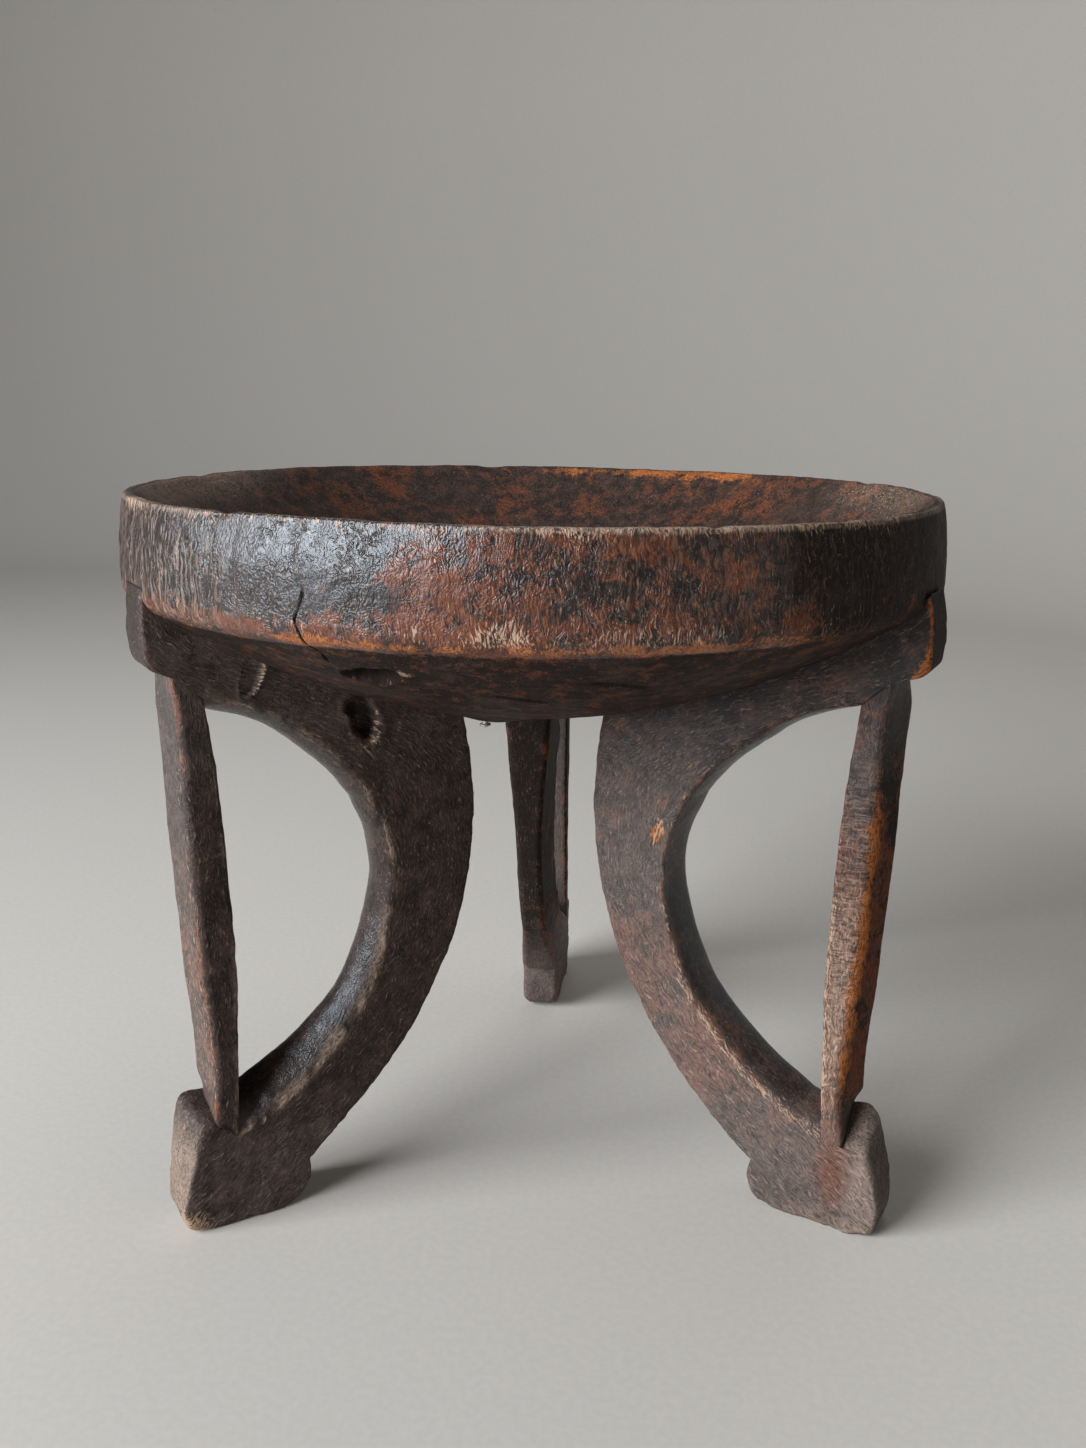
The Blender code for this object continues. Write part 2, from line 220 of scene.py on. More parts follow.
LUG = [(172, 254), (176, 253.6), (179.6, 257), (180.9, 263), (180.9, 277), (180.4, 288)]
LUG_MIDDLE = [(165.5, 248), (167, 257), (168, 261), (168.5, 264.5), (167, 263.5)]
LUG_REACH = [0, 0.5, 1, 1, 1, 0.5]
SEAT_LINE = (170, 150, 125, 95, 70, 43)
SEAT_BITE = 2.5
SOLE = [(122.5, 21.5), (121.8, 13), (124.8, 5.4), (132.5, 0.8), (149, 0), (169, 0), (176.5, 2.4),
        (180.2, 10), (179.6, 23)]
TOE_REACH = [1.0, 0.8, 0.4, 0.3]
HEEL_REACH = [(-1.0, 0.85), (-1.0, 0.35), (-1.0, 0.0), (-0.9, 0.0)]
HEEL_BACK = [(-0.2, 0.3), (-1.0, 0.85)]
FOOT_MIDDLE = [(132, 36), (138, 30), (143, 26), (151, 23), (159, 24), (166, 27), (170, 31),
               (169, 36), (165, 40), (160, 45)]
INNER_EASE = 1.4
OUTER_EASE = 2.6
STRUT_EASE = 2.6

# Lip of the toe, as radius, share of the lip's level and rise above it
TOE_LIP = [(178.8, 0.55, 8.0), (177.4, 1.0, -6.0), (175.4, 1.0, -1.2), (172.2, 1.0, 0.0),
           (168.0, 1.0, -0.4), (164.5, 1.0, -0.8)]
LIP_LEAN = 0.15

# Grid of the legs, and the line that the grain follows, as height and radius
RUN_STEPS = {"lug": 40, "rail": 70, "root": 50, "bow": 170, "foot": 150, "strut": 150}
MEMBERS = {"bracket": ("lug", "rail"), "bow": ("root", "bow"), "foot": ("foot",),
           "strut": ("strut",)}
FACE_STEPS = 28
WALL_STEPS = 14
CORNER_STEPS = 5
GRAIN_LINE = [(0, 172), (20, 150), (40, 128), (60, 107), (80, 91), (110, 71), (150, 58), (180, 60),
              (200, 66), (215, 79), (228, 99), (240, 125), (250, 148), (260, 168), (290, 200)]

# How the three legs differ, in the terms that leg_form explains
LEGS = {
    "left": dict(bearing=210.0, offset=0.0, near=1.0, seed=100, opening=2.0, back=-1.5, lug=0.8,
                 slant=1.6, crown=(6.0, 5.0, 13.0), tip=(0.0, -0.5), toe=1.5, lip=51.5, rise=7.5,
                 chop=5.0, heel=0.0),
    "right": dict(bearing=330.0, offset=0.0, near=-1.0, seed=200, opening=-2.0, back=1.0, lug=3.6,
                  slant=2.8, crown=(3.2, 2.4, 9.0), tip=(-0.45, -0.45), toe=4.0, lip=41.0,
                  rise=12.0, chop=0.0, heel=0.0),
    "back": dict(bearing=84.0, offset=0.0067, near=-1.0, seed=300, opening=0.0, back=0.0, lug=-0.8,
                 slant=0.0, crown=(5.0, 5.0, 9.0), tip=(0.0, 0.0), toe=0.0, lip=50.0, rise=4.0,
                 chop=0.0, heel=7.0)}
PAINT_SEED = 400

# Relief of the legs' skin
LEG_RISE = 0.00030
LEG_GRIT = 0.00013
EDGE_WIDTH = 0.0022
EDGE_WEAR = 0.00060
EDGE_GRIT = 0.00032
FOOT_WEAR = 0.00040
GOUGE_LIP = 0.0004

# Gouges by radius, height, half width, half length (mm), lean and depth (m), and the pale scar
LEG_GOUGES = {"left": [(139.0, 249.0, 4.0, 8.5, 24.0, 0.0020),
                       (91.0, 225.5, 6.5, 11.5, -18.0, 0.0068)]}
DEEP_GOUGE = 0.004
SCAR = (72.0, 171.5, 4.0, 10.5, -28.0)

# Nail, its section in shares of the head's radius and millimetres, and the boss round it
NAIL_BEARING = -105.9
NAIL_RADIUS = 0.0728
NAIL_HEAD = 0.0024
NAIL_DROP = 0.0008
NAIL_DENTS = 0.05
NAIL_SECTION = [(0.0, 6.0), (0.45, 6.0), (0.46, 2.0), (0.46, -1.6), (0.5, -2.05), (0.95, -2.15),
                (1.0, -2.4), (0.97, -2.75), (0.8, -3.05), (0.45, -3.3), (0.0, -3.38)]
NAIL_ROWS = 42
NAIL_COLUMNS = 36
BOSS_TURN = 2.0
BOSS_RISE = 0.0022
BOSS_WIDTH = 0.0115


def lattice_value(i, j, k, seed):
    """Random value from -1 to 1 at each lattice point, from its indices mixed by odd factors."""
    mixed = (i * 374761393 + j * 668265263 + k * 1440662683 + seed * 1274126177) & 0xFFFFFFFF
    mixed = ((mixed ^ (mixed >> 13)) * 1274126177) & 0xFFFFFFFF
    mixed = mixed ^ (mixed >> 16)
    return mixed / 2147483648.0 - 1.0


def noise(points, size, seed):
    """Smooth noise from -1 to 1: the values at the eight corners of a point's cell, blended
    by quintic weights. The cell's size may differ along the three axes."""
    cell = points / np.asarray(size)
    low = np.floor(cell).astype(np.int64)
    share = cell - low
    share = share ** 3 * (share * (share * 6 - 15) + 10)
    total = np.zeros(points.shape[:-1])
    for corner in np.ndindex(2, 2, 2):
        weight = np.ones(points.shape[:-1])
        for axis, step in enumerate(corner):
            weight = weight * (share[..., axis] if step else 1 - share[..., axis])
        total += weight * lattice_value(low[..., 0] + corner[0], low[..., 1] + corner[1],
                                        low[..., 2] + corner[2], seed)
    return total


def rough(points, size, seed, octaves=3):
    """Sum of noises, each half as large and half as strong as the one before."""
    size = np.asarray(size, float)
    total = np.zeros(points.shape[:-1])
    for i in range(octaves):
        total += noise(points, size / 2 ** i, seed + 17 * i) / 2 ** i
    return total


def smooth(value, low, high):
    """Cubic step from 0 at low to 1 at high."""
    share = np.clip((value - low) / (high - low), 0.0, 1.0)
    return share * share * (3 - 2 * share)


def hump(value, middle, width):
    """Bell curve of height 1."""
    return np.exp(-((value - middle) / width) ** 2)


def window(value, low, high, soft):
    """1 between low and high, falling to 0 over a soft border."""
    return smooth(value, low - soft, low + soft) * (1 - smooth(value, high - soft, high + soft))


def turn_gap(bearing, middle):
    """Bearing from a middle one, wrapped to -180..180 degrees."""
    return (bearing - middle + 180.0) % 360.0 - 180.0


def leaning(x, y, lean):
    """The coordinates x and y in axes that are turned by an angle in degrees."""
    turn = math.radians(lean)
    return x * math.cos(turn) + y * math.sin(turn), y * math.cos(turn) - x * math.sin(turn)


def even_line(knots, count):
    """Curve through the knots, as points at even distances.

    Between two knots it is a cubic whose slope at a knot is that of the parabola through
    the knot and its two neighbours, measured along the chords."""
    knots = np.asarray(knots, float)
    chord = np.linalg.norm(np.diff(knots, axis=0), axis=1)[:, None]
    slope = np.diff(knots, axis=0) / chord
    inner = (chord[1:] * slope[:-1] + chord[:-1] * slope[1:]) / (chord[1:] + chord[:-1])
    tangent = np.vstack([slope[:1], inner, slope[-1:]])
    t = np.linspace(0, 1, 48, endpoint=False)[None, :, None]
    a, b = knots[:-1, None], knots[1:, None]
    ta, tb = (tangent[:-1] * chord)[:, None], (tangent[1:] * chord)[:, None]
    fine = ((2 * t ** 3 - 3 * t ** 2 + 1) * a + (t ** 3 - 2 * t ** 2 + t) * ta
            + (3 * t ** 2 - 2 * t ** 3) * b + (t ** 3 - t ** 2) * tb)
    fine = np.vstack([fine.reshape(-1, knots.shape[1]), knots[-1:]])
    along = np.concatenate([[0], np.cumsum(np.linalg.norm(np.diff(fine, axis=0), axis=1))])
    even = np.linspace(0, along[-1], count)
    return np.stack([np.interp(even, along, fine[:, i]) for i in range(knots.shape[1])], axis=1)


def line_gap(points, path):
    """Distance of each point from a chain of straight pieces."""
    best = np.full(points.shape[:-1], np.inf)
    for a, b in zip(path[:-1], path[1:]):
        share = np.clip((points - a) @ (b - a) / ((b - a) @ (b - a)), 0.0, 1.0)
        gap = np.linalg.norm(points - a - share[..., None] * (b - a), axis=-1)
        best = np.minimum(best, gap)
    return best


def polar(bearing, radius, height):
    """Point at a bearing in degrees, a radius and a height."""
    angle = math.radians(bearing)
    return np.array([radius * math.cos(angle), radius * math.sin(angle), height])


def grid_normals(points, rows_close):
    """Unit normals of a grid whose columns close on themselves: the cross product of the
    differences along its rows and along its columns, turned to point out of what it encloses."""
    if rows_close:
        down = np.roll(points, -1, 0) - np.roll(points, 1, 0)
    else:
        down = np.gradient(points, axis=0)
    across = np.roll(points, -1, 1) - np.roll(points, 1, 1)
    normal = np.cross(down, across)
    if np.sum(normal * (points - points.mean(axis=(0, 1)))) < 0:
        normal = -normal
    return normal / np.maximum(np.linalg.norm(normal, axis=-1, keepdims=True), 1e-12)


def turned_normals(points):
    """Normals of a turned grid, upright at its first row and downward at its last."""
    normals = grid_normals(points, False)
    normals[0], normals[-1] = (0, 0, 1), (0, 0, -1)
    return normals


def grid_quads(rows, columns):
    """Corner numbers of the quads of a grid whose columns close on themselves."""
    row = np.arange(rows - 1)[:, None] * columns
    column = np.arange(columns)[None, :]
    after = (column + 1) % columns
    corners = [row + column, row + columns + column, row + columns + after, row + after]
    return np.stack([corner.reshape(-1) for corner in corners], axis=1)


def ring_fan(ring, centre):
    """Triangles from a closed ring of corner numbers to a centre."""
    return np.stack([ring, np.roll(ring, -1), np.full_like(ring, centre)], axis=1)


def add_mesh(name, points, quads, triangles, normals, paints):
    """Mesh object from arrays, shaded smooth with the normals given, and with its paints as
    attributes. Faces are turned round if they enclose a negative volume."""
    fans = np.concatenate([triangles, quads[:, [0, 1, 2]], quads[:, [0, 2, 3]]])
    a, b, c = (points[fans[:, i]] for i in range(3))
    if np.sum(np.cross(a, b) * c) < 0:
        quads, triangles = quads[:, ::-1], triangles[:, ::-1]
    mesh = bpy.data.meshes.new(name)
    mesh.vertices.add(len(points))
    mesh.vertices.foreach_set("co", points.astype(np.float32).ravel())
    corners = np.concatenate([quads.ravel(), triangles.ravel()]).astype(np.int32)
    starts = np.concatenate([np.arange(len(quads)) * 4,
                             len(quads) * 4 + np.arange(len(triangles)) * 3]).astype(np.int32)
    mesh.loops.add(len(corners))
    mesh.loops.foreach_set("vertex_index", corners)
    mesh.polygons.add(len(starts))
    mesh.polygons.foreach_set("loop_start", starts)
    mesh.update(calc_edges=True)
    mesh.shade_smooth()
    mesh.normals_split_custom_set_from_vertices(normals.astype(np.float32))
    for label, values in paints.items():
        is_place = values.shape[1] == 3
        kind, field = ("FLOAT_VECTOR", "vector") if is_place else ("FLOAT_COLOR", "color")
        layer = mesh.attributes.new(label, kind, "POINT")
        layer.data.foreach_set(field, values.astype(np.float32).ravel())
    obj = bpy.data.objects.new(name, mesh)
    bpy.context.scene.collection.objects.link(obj)
    return obj


def turned_mesh(name, points, paints):
    """Mesh of a turned grid whose first and last rows are one point each, closed by fans."""
    rows, columns = points.shape[:2]

    def closed(grid):
        return np.concatenate([grid[:1, 0], grid[1:-1].reshape(-1, grid.shape[-1]), grid[-1:, 0]])

    first = np.arange(columns) + 1
    last = first + (rows - 3) * columns
    pole = (rows - 2) * columns + 1
    triangles = np.concatenate([ring_fan(first, 0), ring_fan(last[::-1], pole)])
    return add_mesh(name, closed(points), grid_quads(rows - 2, columns) + 1, triangles,
                    closed(turned_normals(points)),
                    {label: closed(grid) for label, grid in paints.items()})


class Skin:
    """Amounts of each wear, mark and painted light or shade at every point of a piece, laid on
    patch by patch.
    """

    ATTRIBUTES = {"tint": ("red", "orange", "tan", "pale"),
                  "state": ("dark", "grey", "polish"),
                  "marks": ("curly", "hairs", "ribs")}

    def __init__(self, shape):
        names = [name for group in self.ATTRIBUTES.values() for name in group]
        self.amounts = {name: np.zeros(shape) for name in names}

    def lay(self, patch, **weights):
        """Add a patch to the amounts named, times each one's weight."""
        for name, weight in weights.items():
            self.amounts[name] += weight * patch

    def fade(self, share, *names):
        """Take a share away from the amounts named."""
        for name in names:
            self.amounts[name] *= 1 - share

    def paints(self):
        """Colour attributes of four channels, each kept from 0 to 1, the spare ones at 1."""
        paints = {}
        for label, names in self.ATTRIBUTES.items():
            channels = [self.amounts[name] for name in names]
            spare = [np.ones_like(channels[0])] * (4 - len(channels))
            paints[label] = np.clip(np.stack(channels + spare, axis=-1), 0, 1)
        return paints


def seat_bearings():
    """Bearings of the seat's columns, close together at the front and at the crack and knot:
    the running sum of a density, read back at even shares."""
    bearing = np.linspace(-270.0, 90.0, BEARING_SAMPLES)
    density = (1.0 + 0.3 * np.cos(np.radians(bearing - FRONT_BEARING))
               + 8.0 * hump(bearing, BAND_CRACK[2][0], 1.0)
               + 0.7 * hump(bearing, KNOT_BEARING, 6.0))
    total = np.concatenate([[0], np.cumsum((density[1:] + density[:-1]) / 2)])
    share = np.arange(SEAT_COLUMNS) / SEAT_COLUMNS
    return np.interp(share * total[-1], total, bearing)


def underside_level(radius):
    """Height of the bowl-shaped underside at a radius: a parabola up to the band's edge."""
    return BOWL_LOW + (BAND_BOTTOM - BOWL_LOW) * (radius / BAND_RADIUS) ** 2


def bend(start, corner, end, count):
    """Rounded corner: the parabola from start to end whose end slopes point at the corner."""
    t = np.linspace(0, 1, count)[:, None]
    start, corner, end = np.array(start), np.array(corner), np.array(end)
    return (1 - t) ** 2 * start + 2 * t * (1 - t) * corner + t * t * end


def seat_section():
    """Half section of the seat, from the dish's middle over the lip and the band to the middle
    of the underside: a power curve, two rounded corners, a flaring line, an eased arris and a
    parabola. Returns radius, height and zone of each point, as columns."""
    share = 1 - (1 - np.linspace(0, 1, DISH_ROWS, endpoint=False)) ** DISH_CROWDING
    dish = np.stack([DISH_RADIUS * share,
                     DISH_FLOOR + (LIP_BASE - DISH_FLOOR) * share ** DISH_POWER], axis=1)
    slope = DISH_POWER * (LIP_BASE - DISH_FLOOR) / DISH_RADIUS
    inward = bend((DISH_RADIUS, LIP_BASE), (DISH_RADIUS + LIP_CROWN / slope, RIM_LEVEL),
                  (LIP_RADIUS - LIP_CROWN, RIM_LEVEL), LIP_ROWS[0])
    outward = bend((LIP_RADIUS - LIP_EDGE, RIM_LEVEL), (LIP_RADIUS, RIM_LEVEL),
                   (LIP_RADIUS, RIM_LEVEL - LIP_EDGE), LIP_ROWS[1])
    share = np.linspace(0, 1, BAND_ROWS)[1:]
    top, foot = RIM_LEVEL - LIP_EDGE, BAND_BOTTOM + ARRIS_ROUND
    band = np.stack([LIP_RADIUS + BAND_FLARE * (1 - (1 - share) ** BAND_CURVE),
                     top + (foot - top) * share], axis=1)
    inside = BAND_RADIUS - ARRIS_ROUND
    arris = bend((BAND_RADIUS, foot), (BAND_RADIUS, BAND_BOTTOM),
                 (inside, underside_level(inside)), ARRIS_ROWS)[1:]
    radius = np.concatenate([np.linspace(inside, BOWL_MIDDLE, BOWL_ROWS[0])[1:],
                             np.linspace(BOWL_MIDDLE, 0, BOWL_ROWS[1])[1:]])
    bowl = np.stack([radius, underside_level(radius)], axis=1)
    parts = [dish, np.concatenate([inward, outward]), band, arris, bowl]
    zone = np.concatenate([np.full(len(part), i) for i, part in enumerate(parts)])
    section = np.concatenate(parts)
    return section[:, :1], section[:, 1:], zone[:, None]


def seat_form(radius, height, bearing):
    """The half section turned about the axis: its radius swells in waves of two and five, its
    rim tilts and waves, and the lip is rubbed inwards where hands take hold."""
    phi = np.radians(bearing)
    lift = RIM_WAVE * np.sin(3 * phi + 1.0) - RIM_TILT * (1 + np.cos(phi - 0.7))
    swell = 1 - OVAL * (1 - np.cos(2 * phi)) / 2 - FIVE_SIDES * (1 + np.sin(5 * phi)) / 2
    rubbed = window(bearing, *HAND_PLACE) * smooth(radius, DISH_RADIUS, LIP_RADIUS)
    rubbed = rubbed * smooth(height, RIM_LEVEL - HAND_REACH, RIM_LEVEL)
    out = radius * swell - HAND_WEAR * rubbed
    level = height + lift * smooth(height, BAND_BOTTOM, RIM_LEVEL)
    return np.stack([out * np.cos(phi), out * np.sin(phi), level], axis=-1)


def knot_share(points):
    """Distance from the knot's middle, as a share of its oval outline, roughened by noise."""
    gap = points - polar(KNOT_BEARING, KNOT_RADIUS, 0.0)
    along, across = leaning(gap[..., 0], gap[..., 1], KNOT_BEARING + 90.0 + KNOT_TURN)
    ragged = 1 + 0.16 * rough(points, 0.006, 41, 2)
    return np.hypot(along / KNOT_ALONG, across / KNOT_ACROSS) / ragged


def seat_marks(points, radius, bearing, zone):
    """Zone and bearing of each point, its distances from the crack, measured on the unrolled
    band, and from the slits, and its share of the knot's oval."""
    below = BAND_BOTTOM - (BAND_RADIUS - radius)
    down = np.where(zone == BOWL, below, points[..., 2])
    unrolled = np.stack([np.radians(bearing) * BAND_RADIUS, down], axis=-1)
    crack = np.array([(math.radians(turn) * BAND_RADIUS, level) for turn, level in BAND_CRACK])
    crack = np.abs(line_gap(unrolled, crack) + 0.0003 * noise(points, 0.0025, 45))
    slits = [line_gap(points, [polar(*place) for place in path]) for path in UNDER_CRACKS]
    return SimpleNamespace(zone=zone, bearing=bearing, crack=crack,
                           slits=np.minimum.reduce(slits), hole=knot_share(points))


def seat_relief(points, radius, marks):
    """Rise of the seat's skin along its normals: noise, ripples, chisel marks and rings, less
    the worn arris, the chips, the crack, the slits and the knot, plus the nail's boss."""
    zone, bearing, z = marks.zone, marks.bearing, points[..., 2]
    on_lip, on_band, on_arris, on_bowl = (zone == place for place in (LIP, BAND, ARRIS, BOWL))
    flat = np.stack([np.radians(bearing) * BAND_RADIUS, 0 * z, z], axis=-1)
    relief = SKIN_RISE * rough(points, 0.016, 3) + GRIT_RISE * rough(points, 0.0055, 5)
    waves = window(bearing, -116, -101, 5) * smooth(z, BAND_BOTTOM + 0.008, BAND_BOTTOM + 0.022)
    waves = on_band * waves * smooth(noise(flat, 0.012, 12), -0.5, 0.3)
    slanted = (flat[..., 2] * 0.8 - flat[..., 0] * 0.6) / RIPPLE_STEP
    relief += RIPPLE_RISE * waves * np.sin(slanted + 3.0 * rough(flat, 0.014, 9, 2))
    chisel = window(bearing, -165, -122, 8) * (on_band | on_arris)
    relief += CHISEL_RISE * chisel * rough(flat, (0.0045, 1.0, 0.045), 21, 2)
    relief += BAND_RISE * on_band * rough(flat, (0.006, 1.0, 0.030), 25, 2)
    rings = np.hypot(points[..., 0], points[..., 1]) / RIPPLE_STEP + 5 * noise(points, 0.03, 31)
    relief += RING_RISE * on_bowl * np.sin(rings) * smooth(radius, 0.02, 0.06)
    worn = on_arris + 0.4 * on_lip
    relief -= ARRIS_WEAR * worn * smooth(rough(points, (0.009, 0.009, 0.02), 37, 3), 0.15, 1.0)
    relief -= ARRIS_GRIT * worn * smooth(rough(points, 0.004, 39, 2), 0.0, 0.8)
    ragged = on_lip * (1 + 0.4 * noise(points, 0.003, 43))
    for chip_bearing, width, depth in RIM_CHIPS:
        gap = np.radians(turn_gap(bearing, chip_bearing)) * LIP_RADIUS
        relief -= depth * ragged * hump(gap, 0.0, width / 2)
    relief -= CRACK_DEPTH * (zone > LIP) * hump(marks.crack, 0.0, CRACK_WIDTH)
    relief -= SLIT_DEPTH * on_bowl * hump(marks.slits, 0.0, SLIT_WIDTH)
    nail = polar(NAIL_BEARING + BOSS_TURN, NAIL_RADIUS, underside_level(NAIL_RADIUS))
    boss = np.linalg.norm(points - nail, axis=-1)
    relief += BOSS_RISE * on_bowl * hump(boss, 0.0, BOSS_WIDTH)
    inside = on_bowl * (1 - smooth(marks.hole, 0.62, 1.02))
    relief -= KNOT_DEPTH * inside * (1 + 0.18 * rough(points, 0.005, 47, 2))
    relief += KNOT_LIP * on_bowl * hump(marks.hole, 1.12, 0.12)
    return relief


def seat_piece():
    """Dished seat: its turned form with the relief laid along the normals."""
    radius, height, zone = seat_section()
    shape = (len(radius), SEAT_COLUMNS)
    bearing = np.broadcast_to(seat_bearings(), shape)
    points = seat_form(radius, height, bearing)
    marks = seat_marks(points, radius, bearing, np.broadcast_to(zone, shape))
    points = points + turned_normals(points) * seat_relief(points, radius, marks)[..., None]
    points[..., 2] = np.minimum(points[..., 2], SEAT_HIGH_CORNER.z)
    paints = seat_paints(points, marks)
    paints["grain"] = points
    return turned_mesh("dished_seat", points, paints)


def seat_paints(points, marks):
    """Wear of the seat, with some painted light and shade: patches round the band by bearing, then
    the dish and the underside.

    Bearings are loosened by noise, so that no patch has a straight end."""
    zone, bearing, z = marks.zone, marks.bearing, points[..., 2]
    on_dish, on_lip, on_band, on_arris, on_bowl = (zone == place for place in range(5))
    radius = np.hypot(points[..., 0], points[..., 1])
    inner_lip = on_lip & (radius < LIP_RADIUS - INNER_LIP)
    on_dish, on_lip = on_dish | inner_lip, on_lip & ~inner_lip
    coat = on_lip | on_band | on_arris
    patch = rough(points, 0.016, 61, 3)
    round_band = np.stack([np.radians(bearing) * BAND_RADIUS, 0 * z, 0 * z], axis=-1)
    fray = rough(round_band, 0.006, 63, 3)
    loose = bearing + 5.5 * rough(points, 0.014, 65, 3)
    wear = {name: sum(weight * window(loose, *ends) for weight, *ends in places)
            for name, places in BAND_PAINTS.items()}
    behind = 1 - window(bearing, *FRONT_SIDE)
    up = z - BAND_BOTTOM
    skin = Skin(z.shape)

    low_edge = hump(up, -0.0008, 0.0026 + 0.0016 * fray) * coat
    fringe = coat * (1 - smooth(up, 0.003 + 0.003 * fray, 0.011 + 0.004 * fray))
    fringe = fringe * smooth(up, -0.0012, 0.0025)
    rim = smooth(z, RIM_LEVEL - 0.0065 + 0.003 * fray, RIM_LEVEL - 0.0012) * (on_lip | on_band)
    high = smooth(z, RIM_LEVEL - 0.012, RIM_LEVEL - 0.002)
    corner = hump(turn_gap(bearing, TAN_CORNER), 0, 5) * hump(z, RIM_LEVEL, 0.005)
    skin.lay(coat * (wear["red"] + wear["rim red"] * high + 0.50 * hump(up, 0.001, 0.0065)), red=1)
    skin.lay(coat * behind, red=0.34, polish=-0.3)
    skin.lay(coat * patch, red=0.15, dark=-0.24)
    skin.lay(low_edge * (wear["low orange"] + 0.30 * behind), orange=1)
    skin.lay(coat * wear["orange"] * (0.4 + 0.8 * patch), orange=1)
    skin.lay(fringe * (wear["low tan"] + 0.18 * behind), tan=1)
    skin.lay(rim * (wear["rim tan"] + 0.30 * behind), tan=1)
    skin.lay(coat * corner, tan=0.5)
    skin.lay(coat * wear["foxed"] * hump(up, 0.002, 0.0075), dark=-0.45, red=0.25)
    skin.lay(coat * wear["glaze"] * (0.45 * smooth(up, 0.018, 0.038) - 0.15), polish=1)
    skin.lay(coat, dark=0.50, polish=0.52, curly=0.75, hairs=0.22)
    # Paints by bearing; the dark on the band's right is partly painted shade, the grey on its left
    # partly painted sheen
    for name in ("dark", "grey", "polish", "curly", "hairs"):
        skin.lay(coat * wear[name], **{name: 1})
    skin.lay(coat * (window(bearing, *STREAKED_END) + wear["streaks"]), ribs=1)

    wall = smooth(radius, 0.05, 0.15)
    near_rim = smooth(radius, 0.146, 0.170) * on_dish
    back_lip = hump(radius, 0.1712, 0.0042 + 0.0012 * fray) * on_dish + 0.7 * on_lip
    dusty_right = window(bearing, *DUSTY_RIGHT)
    dust_and_light = window(bearing, *DUST_AND_PAINTED_LIGHT_LEFT) + dusty_right
    rim_line = on_lip * smooth(radius, LIP_RADIUS - 0.0022, LIP_RADIUS - 0.0006)
    skin.lay(on_dish, red=0.22, dark=0.16, polish=0.46, curly=0.36, hairs=0.26)
    skin.lay(on_dish * wall, red=0.12, polish=-0.2)
    skin.lay(on_dish * patch, red=0.18, dark=-0.16)
    skin.lay(wear["warm rim"] * (back_lip * (0.58 + 0.3 * patch) + 0.10 * on_dish), orange=1)
    # Dust near the rim at both ends; the left end's larger share of grey is painted light
    skin.lay(near_rim * dust_and_light, tan=0.36, grey=0.30, pale=0.12)
    skin.lay(near_rim * dusty_right, grey=-0.18)
    # Painted light: pale on the dish's left inner wall, which the key lamp does not reach
    skin.lay(near_rim * window(bearing, *PAINTED_LIGHT_LEFT) * smooth(radius, 0.156, 0.172), pale=0.60)
    skin.lay(rim_line * (0.72 + 0.3 * patch), pale=1)

    torn = hump(marks.hole, 1.10, 0.18) * on_bowl * smooth(points[..., 0], -0.056, -0.046)
    pit = on_bowl * (1 - smooth(marks.hole, 0.82, 1.04))
    split = (zone > LIP) * hump(marks.crack, 0, 0.00030) + on_bowl * hump(marks.slits, 0, 0.0014)
    skin.lay(on_bowl, red=0.34, dark=0.66, polish=0.04, curly=0.22, hairs=0.18)
    skin.lay(on_bowl * patch, red=0.2, dark=0.25)
    skin.lay(torn * smooth(rough(points, 0.004, 67, 2), -0.3, 0.5), tan=0.75)
    skin.lay(pit + split, dark=1.5)
    skin.fade(np.clip(1.3 * pit + 1.2 * split, 0, 1),
              "red", "orange", "tan", "grey", "curly", "hairs", "ribs")
    return skin.paints()


def wall_middle(leg, opening):
    """Line down the middle of the opening's crowned wall, for the knots of the opening: each knot
    moved into the opening by the leg's crown, and the two corners moved by given offsets."""
    top, waist, low = leg["crown"]
    along = np.gradient(opening, axis=0)
    along = along / np.linalg.norm(along, axis=1, keepdims=True)
    inward = np.stack([-along[:, 1], along[:, 0]], axis=1)
    share = np.linspace(0, 1, len(opening))
    crown = np.interp(share, [0.0, 0.25, 0.5, 0.9, 1.0], [top, top, waist, low, low])
    middle = opening + inward * crown[:, None]
    middle[0] = opening[0] + (-1.5, -1.1 * top)
    middle[-1] = opening[-1] + (-2.2, 1.35 * low)
    return middle


